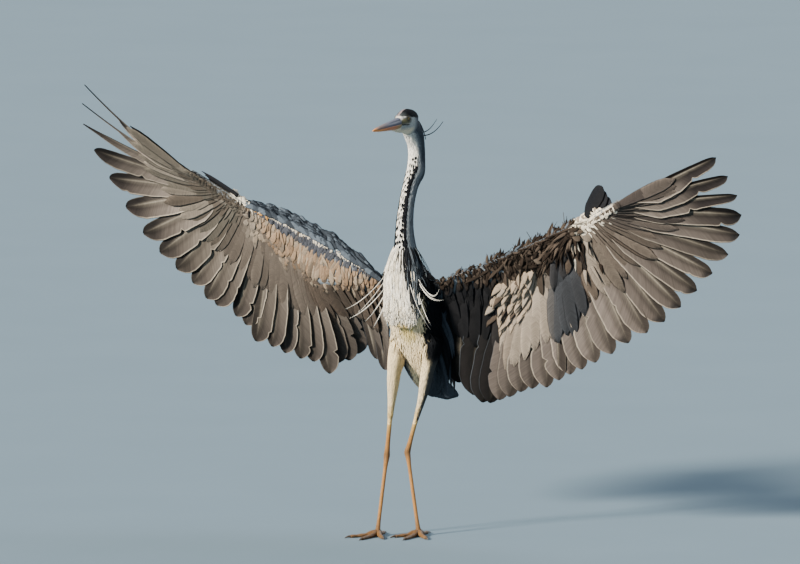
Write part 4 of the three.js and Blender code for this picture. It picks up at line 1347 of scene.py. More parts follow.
# the colour of a painted cast shadow
CAST_SHADOW_BLUE = colour("313439")
BLUE_GREY = colour("545e69")
MARGIN_GREY = colour("474b54")
UNDERWING = {  # colour, places on the wing, where on the chord the tips end, strength, chance
    "right": [
        # the second entry is painted shade by the body, over the innermost coverts
        (COVERT_BEIGE, (9, 27), (0.35, 1), 0.7, 0.8), (COVERT_BROWN, (20, 27), (-0.1, 1), 0.85, 0.9),
        (SANDY, (11.5, 25), (-0.6, 0.22), 0.8, 0.75), (BUFF, (12.5, 26), (-0.6, 0.12), 0.65, 0.55),
        (COVERT_BROWN, (13, 24), (-0.3, 0.35), 0.55, 0.35),
        (MARGIN_GREY, (11, 25), (-0.86, -0.6), 0.9, 0.95),
        (ORANGE_BUFF, (9.4, 13.6), (-1, -0.7), 0.85, 0.9), (WARM_WHITE, (9, 26), (-1, -0.88), 0.95, 0.8),
        (HAND_BEIGE, (-1, 9.3), (-1, 1), 0.85, 1), (COVERT_PALE, (2, 9), (-0.3, 1), 0.5, 0.4),
        (COVERT_BROWN, (1, 9), (-0.6, 0.6), 0.6, 0.45), (INK, (-1, 2.6), (-1, -0.4), 1, 0.9),
        (COVERT_PALE, (9.4, 12), (-0.3, 0.4), 0.8, 0.7), (WARM_WHITE, (6.6, 11.0), (-1, -0.3), 0.95, 0.8),
        (INK, (8.2, 10.8), (-0.5, 0.0), 0.95, 0.55), (BUFF, (9.8, 11.6), (-0.7, -0.2), 0.6, 0.4),
    ],
    "left": [
        (DARK_BROWN, (11, 26), (-1, 0.14), 0.95, 0.72), (COVERT_BROWN, (11, 26), (-1, 0.0), 0.8, 0.35),
        (COVERT_PALE, (15.5, 22.4), (0.14, 1), 0.85, 0.95),
        # a painted cast shadow over the pale greater coverts
        (CAST_SHADOW_BLUE, (12.6, 16.4), (0.14, 0.75), 0.95, 0.95),
        (SANDY, (18.6, 22.8), (-0.05, 0.38), 0.95, 0.8), (COVERT_PALE, (15, 21), (-0.6, -0.1), 0.9, 0.14),
        (DARK_BROWN, (12.3, 13.6), (0.05, 0.45), 0.85, 0.6), (DARK_BROWN, (17.4, 18.4), (0.1, 0.5), 0.9, 0.7),
        (COVERT_PALE, (9, 11.6), (-0.2, 0.6), 0.8, 0.5), (DARK_BROWN, (10.2, 12.4), (0.0, 0.6), 0.85, 0.3),
        (COVERT_BEIGE, (5.5, 10.4), (-1, 1), 0.8, 0.9), (TAUPE * 0.6, (-1, 5.5), (-1, 1), 0.85, 0.95),
        (DARK_TIP, (-1, 5), (-0.5, 1), 0.6, 0.4), (WARM_WHITE, (1.5, 11.4), (-1, 0.1), 0.95, 0.86),
        # the first entry is painted shade by the body: black over the innermost coverts
        (INK, (22.6, 27), (-0.1, 1), 0.97, 0.97), (COVERT_BROWN, (23, 26), (-1, -0.2), 0.7, 0.35),
    ],
}
UNDER_BASE = {"right": COVERT_BEIGE, "left": COVERT_BROWN}


def underwing(side, place, part, chance):
    found = np.tile(UNDER_BASE[side], (len(place), 1))
    for turn, (shade, (first, last), (front, back), strength, share) in enumerate(UNDERWING[side]):
        along = ease(first - 0.5, first + 0.5, place) * ease(last + 0.5, last - 0.5, place)
        across = ease(front - 0.04, front + 0.04, part) * ease(back + 0.04, back - 0.04, part)
        clump = np.sin(place * 2.7 + part * 9 + turn * 2.4) * np.cos(place * 1.1 - part * 5 + turn)
        drawn = mixed((chance * 7.31 + turn * 0.37) % 1, 0.5 + 0.5 * clump, 0.5)
        found = painted(found, along * across * strength * ease(share + 0.06, share - 0.06, drawn), shade)
    return found


def upperwing(side, place, part, chance):
    found = np.tile(mixed(BLUE_GREY, PALE_GREY, 0.45), (len(place), 1))
    found = painted(found, ease(0.0, 0.3, part) * 0.25, SLATE)
    found = painted(found, ease(10, 8, place) * ease(-0.1, 0.2, part), INK)
    found = painted(found, (chance - 0.3) * 0.5, PALE_GREY)
    return painted(found, ease(-0.6, -0.75, part) * 0.7, SLATE)


def covert_row(start, end, apart, wide, outer=0.1, inner=FLIGHT_FEATHERS - 0.3):
    """Where one row's feathers stand along the wing, with their parts of the chord and width."""
    places = np.arange(outer, inner, apart) + rng.uniform(-0.1, 0.1)
    return np.stack([places, *(np.full(len(places), value) for value in (start, end, wide))])


def coverts(name, side, rows, face, tint_of, ruffle, shape, grain):
    """Rows of one kind of feather. grain is how far their shades differ and their edges show."""
    wing = wings[side]
    place, first, last, width = np.concatenate([covert_row(*row) for row in rows], axis=1)
    count = len(place)
    place = np.clip(place + rng.normal(0, 0.07, count), 0, FLIGHT_FEATHERS - 0.4)
    chance = rng.random(count)
    base = tint_of(side, place, last, chance) * (1 + grain * (rng.random(count) - 0.5))[:, None]
    windy = ruffle * ease(9.5, 11, place) * ease(24, 21, place) * ease(0.5, 0.1, last)
    loose = windy * rng.random(count) ** 2
    first = np.maximum(first + rng.normal(0, 0.012, count), -1)
    shaggy = ruffle * ease(0.1, -0.1, last)
    last = last + rng.normal(0, 0.015 + 0.03 * ruffle, count) + 0.12 * shaggy * rng.random(count)
    width = width * (1 - 0.35 * shaggy * rng.random(count))
    normal = unit(wing.read("normal", place)) * face
    leading = unit(wing.read("leading", place))
    root = wing.chord(place, first) + normal * (wing.thickness(place, first) - 1.2)[:, None]
    tip_place = np.clip(place + (0.12 + 1.8 * loose) * rng.normal(0, 1, count), 0, FLIGHT_FEATHERS - 0.3)
    tip = wing.chord(tip_place, last)
    onward = unit(wing.tip[np.round(place).astype(int)] - tip)
    lift = wing.thickness(place, np.maximum(last, -1)) + 0.7 + 5 * ease(0.4, 0.7, last) + 8 * loose
    extra = np.interp(last, [-1, 0], COVERT_EXTRA)[:, None]
    tip = tip + onward * extra + normal * lift[:, None]
    middle = (root + tip) / 2 + normal * (2.0 + 4 * loose)[:, None]
    twist = VANE_TWIST * 0.4 + loose * rng.normal(0, 0.5, count)
    up = unit(normal * np.cos(twist)[:, None] + leading * np.sin(twist)[:, None])

    def tint(along, column, upper, share):
        centre = ease(0.7, 0.2, np.abs(column)) * ease(0.25, 0.8, along)
        fringe = np.clip(ease(0.7, 0.95, np.abs(column)) + ease(0.85, 0.98, along), 0, 1)
        strength = 1 + grain * (0.55 * fringe - 0.5 * centre)
        return base[:, None, None] * strength[..., None]

    return feathers(
        name, shape, (root, middle, tip), up, width, 0.25, tint,
        (nearest_skin_map(mixed(root, tip, 0.2)), PATCH), leading, chance=chance,
    )


def covert_piece(name, side, rows, face, tint_of, ruffle, slot):
    greater = [row for row in rows if row[1] > LESSER]
    lesser = [row for row in rows if row[1] <= LESSER]
    rows_of_both = [
        coverts(name, side, greater, face, tint_of, ruffle, greater_blade, grain=0.45),
        coverts(name, side, lesser, face, tint_of, ruffle, lesser_blade, grain=0.25),
    ]
    settle(joined(name, rows_of_both), covert_finish, slot)


covert_finish = plumage_finish(
    "covert_plumage", streak=420.0, barb_pitch=0.0012, depth=0.0004, roughness=0.7, contrast=1.2,
)
for side in wings:
    ruffle = 1.0 if side == "left" else 0.25
    rows = [LONG_COVERTS, *UNDER_ROWS] if side == "left" else UNDER_ROWS
    covert_piece(f"underwing_coverts_{side}", side, rows, -1, underwing, ruffle, "underwing_feathers")
    covert_piece(f"upperwing_coverts_{side}", side, UPPER_ROWS, 1, upperwing, 0.2, "grey_feathers")

# ---- Alulae ----
# The thumb's own black feathers, standing free of the wing's front edge: three narrow pointed
# ones on the right wing and three broad rounded ones on the left, each lying over the next.
THUMB_ROUND = [
    (0, 0.2, 0.2), (0.25, 0.42, 0.46), (0.7, 0.46, 0.52),
    (0.88, 0.4, 0.42), (0.96, 0.24, 0.26), (1, 0.04, 0.05),
]
ALULA = {  # outline, width, and from feather to feather at their roots and at their tips
    "right": (POINTED[3:], 17, 2, 7),
    "left": (THUMB_ROUND, 32, 11, 10),
}
THUMB_FEATHERS = 3
THUMB_PATCH = (0.02, 0.08)
SOOT = colour("1b1c20")
for side, wing in wings.items():
    outline, width, root_step, tip_step = ALULA[side]
    base, end = (np.array(point, float) for point in WINGS[side]["thumb"])
    normal = wing.normal[PRIMARIES - 2]
    leading = unit(np.cross(end - base, normal))
    leading = leading * math.copysign(1, leading[2])
    order = np.arange(THUMB_FEATHERS)[:, None]
    base = base + normal * order + leading * root_step * (0.7 - order)
    end = end - leading * tip_step * order + normal * 2.4 * order - (end - base) * 0.1 * order
    middle = (base + end) / 2 + leading * 3
    shape = blade(outline, 20, VANE_PLACES, camber=3, keel=1.4)
    spot = nearest_skin_map(base)
    up = unit(-normal * math.cos(VANE_TWIST) + leading * math.sin(VANE_TWIST))
    up, leading, soot = (np.tile(one, (THUMB_FEATHERS, 1)) for one in (up, leading, SOOT))
    thumb = feathers(
        f"alula_feathers_{side}", shape, (base, middle, end), up, width, thick=0.4,
        tint=soot * (1 + 0.5 * order), patch=(spot, THUMB_PATCH), leading=leading,
    )
    settle(thumb, flight_finish, "black_feathers", f"wing_{side}_alula")

# ---- Scapulars ----
# Long loose feathers of the shoulders: grey ribbons down the back, black ones down the flanks, a
# slate band along the right wing's front edge, white tufts at both wrists, and on the left wing
# a ruffled brown fringe with wisps and the feathers that the wind has blown out of line below.
RIBBON = [(0, 0.3), (0.3, 0.5), (0.6, 0.34), (0.85, 0.14), (1, 0.02)]
ribbon_blade = blade(RIBBON, 12, 3, camber=0.8, keel=0.5)
ruffle_blade = blade(VANE_ROUND, 7, 5, camber=1.2, keel=0.4)
plume_blade = blade(WISP, 7, 5, camber=1.0, keel=0.3)
RIBBONS = 64
FLANKS = 36
BAND_HEIGHT = (  # at places on the wing, how far the band stands over the front edge
    [10.8, 12.5, 16, 18.8, 20.4, 22.5, 24.6, 25.8], [5, 15, 24, 31, 26, 31, 22, 4],
)


def scapular_ribbons():
    side = np.where(np.arange(RIBBONS) % 2, 1, -1)
    rank = rng.random(RIBBONS)
    down = rng.random(RIBBONS)
    root = np.column_stack([side * (14 + 42 * rank), 30 + 24 * down - 6 * rank, 545 - 100 * down])
    root = nearest_on(hide, root)[0]
    length = rng.uniform(75, 135, RIBBONS)
    tip = root + np.column_stack([side * rng.uniform(4, 16, RIBBONS), 0.5 * length, -0.82 * length])
    middle = (root + tip) / 2 + np.outer(side, (10, 0, 0)) + (0, 12, 8)
    return root, middle, tip, np.outer(side, (0.5, 0, 0)) + (0, 0.8, 0.4)


def flank_feathers():
    side = np.where(np.arange(FLANKS) % 2, 1, -1)
    rank = rng.random(FLANKS)
    low = rng.random(FLANKS)
    root = np.column_stack([side * (54 - 6 * low), 20 + 26 * rank, 500 - 90 * low])
    fall = np.where(side > 0, rng.uniform(95, 130, FLANKS), rng.uniform(50, 75, FLANKS))
    tip = root + np.column_stack([side * (22 - 14 * low), 22 + 30 * rank, -fall])
    middle = (root + tip) / 2 + np.outer(side, (12, 0, 0)) + (0, 0, 6)
    return root, middle, tip, np.outer(side, (0.75, 0, 0)) + (0, -0.6, 0.2)


def edge_ruffle(side, places, count, reach, spread):
    """Feathers that stand up behind a wing's front edge between two places on it.

    reach is how tall they are, and spread how far they lean inwards and outwards."""
    wing = wings[side]
    place = rng.uniform(*places, count)
    part = rng.uniform(-1, -0.45, count)
    normal = unit(wing.read("normal", place))
    root = wing.chord(place, part) + normal * (wing.thickness(place, part) * 0.7)[:, None]
    clump = 0.75 + 0.45 * np.sin(place * 2.6) * np.sin(place * 5.1)
    lean = np.column_stack([
        SIDES[side] * rng.uniform(*spread, count),
        rng.uniform(0.1, 0.7, count),
        rng.uniform(0.45, 0.9, count),
    ])
    tall = rng.uniform(*reach, count) * clump * ease(25.9, 24, place) ** 0.5
    tip = root + unit(lean) * tall[:, None]
    up = normal * 0.6 - (0, 0.7, 0.1)
    return root, (root + tip) / 2 + up * 2 + (0, 0, 2), tip, up


def blown(places, parts, count, reach, sweep, lift):
    """Loose feathers under the left wing, from places and parts of its chord, blown inwards.

    sweep is by how many places, and lift how far their tips hang off the wing."""
    wing = wings["left"]
    place = rng.uniform(*places, count)
    part = rng.uniform(*parts, count)
    under = -unit(wing.read("normal", place))
    root = wing.chord(place, part) + under * wing.thickness(place, part)[:, None]
    beyond = np.clip(place + rng.normal(sweep, 0.7, count), 0, FLIGHT_FEATHERS - 0.4)
    lie = unit(wing.chord(beyond, part + 0.5) - root + rng.normal(0, 12, (count, 3)))
    tip = root + lie * rng.uniform(*reach, count)[:, None] + under * rng.uniform(*lift, count)[:, None]
    return root, (root + tip) / 2 + under * 5, tip, under


def edge_band(count):
    """A smooth band of overlapping feathers, seen over the right wing's front edge."""
    wing = wings["right"]
    place = rng.uniform(10.9, 25.8, count)
    level = rng.random(count)
    height = np.interp(place, *BAND_HEIGHT) * (0.9 + 0.1 * np.sin(place * 3.1))
    outboard = unit(wing.chord(place - 0.6, -1) - wing.chord(np.minimum(place + 0.2, 26), -1))
    rise = np.array([0, 0.35, 0.94])
    rear = np.outer(level * 7, (0, 1, 0))
    root = wing.chord(place, -1) + rise * (height * level * 0.75 - 3)[:, None] + rear
    tip = root + outboard * rng.uniform(20, 32, count)[:, None] + rise * (height * 0.3)[:, None]
    up = np.tile([0.1, -0.9, 0.35], (count, 1))
    return root, (root + tip) / 2 + up * 2, tip, up


def shoulder_part(name, paths, shape, width, tones, weights):
    """Feathers on these paths, each in one of the tones."""
    root, middle, tip, up = paths
    chosen = rng.choice(len(tones), len(root), p=weights)
    shade = np.array(tones)[chosen] * rng.uniform(0.85, 1.12, (len(root), 1))
    patches = (nearest_skin_map(root), PATCH)
    return feathers(name, shape, (root, middle, tip), unit(up), width, 0.5, shade, patches)


shoulder_parts = [
    shoulder_part("ribbons", scapular_ribbons(), ribbon_blade, 11,
                  [BLUE_GREY, PALE_GREY, SLATE], [0.4, 0.4, 0.2]),
    shoulder_part("flanks", flank_feathers(), ribbon_blade, 26, [BLACK, SLATE], [0.6, 0.4]),
    shoulder_part("band", edge_band(count=340), ruffle_blade, 13,
                  [SLATE, SLATE * 0.7, BLUE_GREY], [0.5, 0.2, 0.3]),
    shoulder_part("ruffle",
                  edge_ruffle("left", (11.5, 25.8), count=460, reach=(15, 31), spread=(-0.2, 0.9)),
                  plume_blade, 7.5, [COVERT_BROWN, DARK_BROWN, BLUE_GREY], [0.25, 0.6, 0.15]),
    shoulder_part("wisps",
                  edge_ruffle("left", (12, 25.8), count=90, reach=(22, 34), spread=(-0.7, 1.0)),
                  ribbon_blade, 2.2, [COVERT_BROWN, DARK_BROWN], [0.5, 0.5]),
    shoulder_part("swept",
                  blown((10.6, 16.6), (-0.7, -0.05), count=150, reach=(34, 64), sweep=3.4, lift=(3, 11)),
                  plume_blade, 9, [DARK_BROWN, COVERT_BROWN], [0.75, 0.25]),
    shoulder_part("tatters",
                  blown((10.2, 12.4), (-0.2, 0.35), count=22, reach=(34, 62), sweep=0.6, lift=(4, 12)),
                  plume_blade, 10, [DARK_BROWN, COVERT_PALE, WARM_WHITE * 0.7], [0.45, 0.35, 0.2]),
    shoulder_part("clump",
                  blown((19.0, 23.4), (-0.15, 0.3), count=150, reach=(26, 46), sweep=0.4, lift=(3, 11)),
                  plume_blade, 17, [SANDY, COVERT_PALE, COVERT_BROWN], [0.7, 0.2, 0.1]),
    shoulder_part("left_wrist",
                  edge_ruffle("left", (5.5, 11.6), count=90, reach=(13, 25), spread=(-0.5, 0.7)),
                  ruffle_blade, 10, [WARM_WHITE, COVERT_PALE], [0.75, 0.25]),
    shoulder_part("right_wrist",
                  edge_ruffle("right", (6.8, 11.2), count=80, reach=(10, 22), spread=(-0.2, 0.9)),
                  ruffle_blade, 8, [WARM_WHITE, INK], [0.85, 0.15]),
]
settle(joined("scapular_feathers", shoulder_parts), covert_finish, "grey_feathers")

# ---- Breast plumes ----
# The bib of the lower neck: long narrow white plumes over the breast, slate ones on its left with
# white and black between, and some that stream free, the outer left ones hooked by the wind.
# Short cream and straw down closes its lower edge.
STREAMERS = [  # root, a point they bend towards, and tip
    ((-34, -66, 560), (-66, -92, 508), (-121, -78, 484)),
    ((-30, -70, 540), (-60, -94, 488), (-111, -84, 465)),
    ((-34, -66, 550), (-62, -90, 500), (-92, -82, 478)), ((-28, -72, 530), (-50, -92, 480), (-74, -84, 462)),
    ((-22, -76, 520), (-40, -90, 470), (-56, -84, 448)), ((-6, -80, 510), (-12, -88, 466), (-18, -82, 434)),
    ((12, -78, 520), (22, -88, 470), (26, -80, 436)), ((20, -72, 555), (40, -92, 500), (72, -77, 447)),
    ((46, -72, 512), (60, -84, 482), (72, -75, 456)), ((44, -70, 524), (45, -86, 488), (58, -84, 513)),
    ((40, -66, 552), (80, -84, 502), (89, -72, 533)), ((42, -64, 542), (72, -86, 506), (100, -72, 511)),
]
STRANDS_EACH = 2  # each streamer is a pair of strands
BIB_SPACING = 3.2
BIB_LOW, BIB_HIGH = 436, 625
STREAMER = [(0, 0.3), (0.25, 0.5), (0.6, 0.42), (0.85, 0.24), (1, 0.06)]
streamer_blade = blade(STREAMER, 24, 3, camber=0.4, keel=0.6)
strand_blade = blade(STREAMER, 8, 3, camber=1.2, keel=0.5)


def streamers():
    paths = np.array(STREAMERS, float).repeat(STRANDS_EACH, axis=0)
    order = np.tile(np.arange(STRANDS_EACH), len(STREAMERS))[:, None]
    stray = rng.normal(0, 0.5, (len(paths), 3))
    root, middle, tip = paths[:, 0] + stray, paths[:, 1] + stray, paths[:, 2] + stray * 0.6
    return root, middle, mixed(tip, middle, 0.2 * order)


def bib_turn(points):
    """How far round from the middle of the white these points are, in degrees."""
    around = np.degrees(np.arctan2(points[:, 0] + 1, -(points[:, 1] + 20)))
    return around - np.interp(points[:, 2], [500, 600], [0, -18])


def bib_keep(points):
    z = points[:, 2]
    widest = np.interp(z, [BIB_LOW, 500, 560, 620], [80, 100, 84, 66])
    return (z > BIB_LOW) & (z < BIB_HIGH) & (np.abs(bib_turn(points)) < widest) & (points[:, 1] < -25)


bib_roots = sown("neck", BIB_SPACING, bib_keep)
bib_at = bib_roots["at"]
bib_count = len(bib_at)
bib_chance = rng.random(bib_count)
low = ease(565, 470, bib_at[:, 2])
fan = np.outer(bib_at[:, 0] / 55, (1, 0, 0)) + (0, -0.05, 0)
bib_roots["lay"] = unit(bib_roots["lay"] + fan * (0.25 + 0.75 * low)[:, None] + (0, 0, -0.25))
bib_length = np.interp(bib_at[:, 2], [BIB_LOW, 466, 495, 540, BIB_HIGH], [8, 12, 24, 56, 66])
bib_length = bib_length * rng.uniform(0.6, 1.35, bib_count)
bib_lift = 2 + 8 * rng.random(bib_count) * low
bib_stray = rng.normal(0, 1, bib_count) * (0.05 + 0.16 * low)
bib_paths = laid_paths(bib_roots, bib_length, 4.5, bib_lift, bib_stray)
turned = bib_turn(bib_at) + 7 * (bib_chance - 0.5)
white_edge = np.interp(bib_at[:, 2], [466, 480, 505, 551, 600], [56, 38, 30, 30, 27])
bib_tint = painted(np.tile(WHITE, (bib_count, 1)), bib_chance * 0.5, CREAM)
grey_side = ease(white_edge - 2, white_edge + 2, turned) * (rng.random(bib_count) < 0.85)
bib_tint = painted(bib_tint, grey_side, mixed(GREY, SLATE, 0.3))
drawn = rng.random(bib_count)
bib_tint = painted(bib_tint, ease(464, 454, bib_at[:, 2]), mixed(WHITE, CREAM, 0.7))
bib_tint = painted(bib_tint, straw_patch(bib_at) * 0.85, STRAW)
slits = band(turned, white_edge + 3, 6, 3) * 0.8 + ease(white_edge, white_edge + 30, turned) * 0.6
bib_tint = painted(bib_tint, (drawn < 0.04 + slits) * ease(485, 505, bib_at[:, 2]) * 0.95, BLACK)
stream_paths = streamers()
stream_up, stream_white = (np.tile(one, (len(stream_paths[0]), 1)) for one in ((0, -1.0, 0.35), WHITE))
bib = [
    feathers("bib", strand_blade, bib_paths, bib_roots["out"], width=2.5, thick=0.25, tint=bib_tint,
             patch=(bib_roots["spot"], PATCH), chance=bib_chance),
    feathers("streamers", streamer_blade, stream_paths, stream_up, width=1.2, thick=0.5,
             tint=stream_white, patch=(nearest_skin_map(stream_paths[0]), PATCH)),
]
settle(joined("breast_plumes", bib), loose_finish, "white_feathers")

# ---- Nape plumes ----
# Two long black thread-like plumes and three short ones that stand off the back of the head, each
# a soft narrow feather rooted in the crown.
NAPE = [  # root, bend, tip and width
    ((5, 34, 854), (9, 70, 850), (12, 107, 876), 2.6), ((8, 33, 848), (16, 76, 842), (22, 117, 870), 2.6),
    ((4, 12, 884), (5, 36, 866), (6, 48, 842), 3.6), ((8, 14, 880), (11, 36, 862), (11, 46, 838), 3.6),
    ((0, 14, 880), (-1, 36, 862), (0, 46, 836), 3.6),
]
nape_root, nape_middle, nape_tip, nape_width = (np.array(column, float) for column in zip(*NAPE))
nape = feathers(
    "nape_plumes", blade(RIBBON, 24, 5, camber=0.3, keel=0.4), (nape_root, nape_middle, nape_tip),
    np.tile([0.2, 0.3, 1.0], (len(NAPE), 1)), nape_width, 0.9, np.tile(BLACK, (len(NAPE), 1)),
    (nearest_skin_map(nape_root), PATCH),
)
settle(nape, velvet_finish, "black_feathers", "nape_plume_1", "nape_plume_2")

# ---- Tail ----
# Twelve short stiff grey feathers in a narrow fan, the middle pair on top, rooted side by side in
# the end of the rump. They are painted dark slate, as shade under the body.
TAIL_FEATHERS = 12
TAIL_SPREAD = 5.6  # from tip to tip
TAIL_ROOT_SPREAD = 1.8
TAIL_STEP = 0.9  # how much lower each feather lies than the one nearer the middle
TAIL_SHORTER = 0.028  # how much shorter it is, as part of the tail
out = np.arange(TAIL_FEATHERS) - (TAIL_FEATHERS - 1) / 2
tail_line = TAIL_TIP - TAIL_ROOT
tail_normal = unit(np.cross(tail_line, (-1, 0, 0)))
stepped = np.outer(np.abs(out) * TAIL_STEP, tail_normal)
tail_root = TAIL_ROOT + np.outer(out * TAIL_ROOT_SPREAD, (1, 0, 0)) - stepped
tail_tip = (
    TAIL_TIP + np.outer(out * TAIL_SPREAD, (1, 0, 0)) - stepped
    - np.outer(np.abs(out) * TAIL_SHORTER, tail_line)
)
TAIL_VANE = [
    (0, 0.1, 0.12), (0.2, 0.25, 0.4), (0.8, 0.36, 0.5),
    (0.93, 0.28, 0.4), (0.98, 0.14, 0.22), (1, 0.03, 0.04),
]
tail_share = (np.arange(TAIL_FEATHERS) + 0.5) / TAIL_FEATHERS
tail = feathers(
    "tail_feathers", blade(TAIL_VANE, 24, 9, camber=2.2, keel=0.9),
    (tail_root, (tail_root + tail_tip) / 2 + tail_normal * 4, tail_tip),
    np.tile(tail_normal, (TAIL_FEATHERS, 1)), 34, 0.5,
    # painted shade: the tail's grey darkened to slate
    np.tile(SLATE * 0.8, (TAIL_FEATHERS, 1)),
    (np.column_stack([tail_share, np.full(TAIL_FEATHERS, 0.5)]), (0.08, 0.9)),
    np.outer(np.sign(out), (1, 0, 0)), cut=parted,
)
settle(tail, flight_finish, "grey_feathers", "tail")

# ---- Bill ----
# Two long horn sheaths that close on each other: the upper one slate at its base, with a groove
# for the nostril, through brown to an orange tip, the lower one olive at its base and then orange.
BILL_BASE = 24
BILL_LENGTH = 119
SHEATH_GAP = 0.35
SHEATH_RINGS = 90
SHEATH_ARCH = 25  # points round the outside
SHEATH_FLAT = 7  # points across the flat
GROOVES = (38, 142)  # degrees round the upper sheath
GROOVE_DEPTH = 0.13
HORN_SLATE = colour("444559")
HORN_BROWN = colour("6a4a3a")
HORN_ORANGE = colour("dc8422")
HORN_OLIVE = colour("7d6a3a")
HORN_RUST = colour("a65a2c")
BILL_TAPER = 0.62


def sheath(name, side, length, height, grain):
    """One half of the bill, flat where it meets the other half.

    grain says where its colours change along the bill, and gives the first two of them."""
    t = np.linspace(0, 1, SHEATH_RINGS)[:, None]
    taper = (1 - t) ** BILL_TAPER
    turn = np.linspace(0, math.pi, SHEATH_ARCH)[None]
    flat = np.tile(np.linspace(-0.9, 0.9, SHEATH_FLAT), (SHEATH_RINGS, 1))
    grooved = sum(band(np.degrees(turn), groove, 7, 7) for groove in GROOVES)
    hollowed = 1 - GROOVE_DEPTH * grooved * ease(0.5, 0.3, t) * (side > 0)
    across = np.hstack([np.cos(turn) * hollowed, flat])
    rise = np.hstack([np.sin(turn) ** 0.9 * hollowed, 0 * flat])
    wide = 0.8 + 8.4 * taper
    tall = 0.5 + height * taper
    forwards = BILL_BASE + t * length + 0 * across
    edge = -2.2 - 1.2 * t + side * SHEATH_GAP / 2
    points = head_point(forwards, across * wide, edge + side * rise * tall)
    piece = tube(name, points)
    finish = Finish(name + "_horn", Specular_IOR_Level=0.5)
    base = in_frame(head_point(BILL_BASE, 0, 0)).ravel()
    away = finish.node("VectorMath", {"operation": "SUBTRACT"}, {0: finish.place(), 1: tuple(base)})
    reach = finish.node("VectorMath", {"operation": "DOT_PRODUCT"}, {0: away, 1: tuple(HEAD_AHEAD)}, "Value")
    drawn_out = finish.node("Mapping", {}, {"Vector": finish.place(), "Scale": (400.0, 40.0, 400.0)})
    streak = finish.noise(drawn_out, 1.0, 3.0)
    share = reach / (BILL_LENGTH / 1000) + (streak - 0.5) * 0.12
    near = finish.mix(share.eased(grain[0], grain[1]), (*grain[3], 1), (*grain[4], 1))
    shade = finish.mix(share.eased(grain[1], grain[2]), near, (*HORN_ORANGE, 1))
    finish.feeds(Base_Color=shade, Roughness=0.34 + streak * 0.2)
    finish.bump(streak, 0.0002)
    piece.data.materials.append(finish.material)
    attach(piece, "root")
    return piece


upper_sheath = sheath("upper_sheath", 1, BILL_LENGTH, 13, (0.35, 0.75, 0.95, HORN_SLATE, HORN_BROWN))
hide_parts("bill_upper")
lower_sheath = sheath("lower_sheath", -1, BILL_LENGTH - 4, 11, (0.0, 0.3, 1.0, HORN_OLIVE, HORN_RUST))
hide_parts("bill_lower")

# ---- Eyes ----
# Glossy balls set deep in the head, with an iris painted a dull dark yellow, as in shade under the
# brow, round a black pupil, and a thin dark ring of lid skin round each.
EYE_RADIUS = 5.5
EYE_AHEAD = 2.5
EYE_SPREAD = 12.6
EYE_RISE = 7.2
EYE_TURN = math.radians(18)  # how far each looks ahead of straight sideways
PUPIL = 0.0019  # metres from the front of the ball, as is the iris
IRIS = 0.0033
LID_RADIUS = 4.3
LID_THICKNESS = 0.9
LID_AHEAD = 0.66  # part of the ball's radius from its middle
SHADED_IRIS_YELLOW = colour("645820")
# the iris's pale yellow, painted darker as shade under the brow
LID = colour("26251c")


def finished_form(name, scale=(1, 1, 1)):
    """The form just added, made smooth, with its place in its mesh."""
    piece = bpy.context.object
    piece.name = piece.data.name = name
    piece.scale = scale
    bpy.ops.object.shade_smooth()
    bpy.ops.object.transform_apply(location=True, rotation=True, scale=True)
    return piece


for side, sign in SIDES.items():
    centre = head_point(EYE_AHEAD, sign * EYE_SPREAD, EYE_RISE)
    facing = Vector(HEAD_LEFT * sign * math.cos(EYE_TURN) + HEAD_AHEAD * math.sin(EYE_TURN))
    turn = facing.to_track_quat("Z", "Y").to_euler()
    bpy.ops.object.select_all(action="DESELECT")
    bpy.ops.mesh.primitive_uv_sphere_add(
        segments=40, ring_count=28, radius=EYE_RADIUS / 1000, location=in_frame(centre), rotation=turn,
    )
    ball = finished_form(f"eyeball_{side}")
    eye_finish = Finish(f"eye_gloss_{side}", Roughness=0.06, Specular_IOR_Level=0.6)
    front = in_frame(centre + np.array(facing) * EYE_RADIUS)
    apart = {0: eye_finish.place(), 1: tuple(front)}
    away = eye_finish.node("VectorMath", {"operation": "DISTANCE"}, apart, "Value")
    rays = eye_finish.noise(eye_finish.place(), 1400.0, 3.0)
    iris = eye_finish.mix(rays, (*SHADED_IRIS_YELLOW, 1), (*(SHADED_IRIS_YELLOW * 0.6), 1))
    ringed = eye_finish.mix(away.eased(IRIS, IRIS * 1.12), iris, (*(LID * 0.5), 1))
    pupil = eye_finish.mix(away.eased(PUPIL * 0.94, PUPIL * 1.06), (0.004, 0.004, 0.004, 1), ringed)
    eye_finish.feeds(Base_Color=pupil)
    ball.data.materials.append(eye_finish.material)
    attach(ball, "root")
    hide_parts(f"eye_{side}")
    bpy.ops.object.select_all(action="DESELECT")
    bpy.ops.mesh.primitive_torus_add(
        major_segments=40, minor_segments=10, major_radius=LID_RADIUS / 1000,
        minor_radius=LID_THICKNESS / 1000, rotation=turn,
        location=in_frame(centre + np.array(facing) * EYE_RADIUS * LID_AHEAD),
    )
    lid = finished_form(f"eyelid_{side}", scale=(1, 0.92, 1))
    store(lid, "tint", np.tile(LID, (len(lid.data.vertices), 1)))
    store(lid, "bare", np.ones(len(lid.data.vertices)), "FLOAT")
    lid.data.materials.append(hide_finish.material)
    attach(lid, "root")

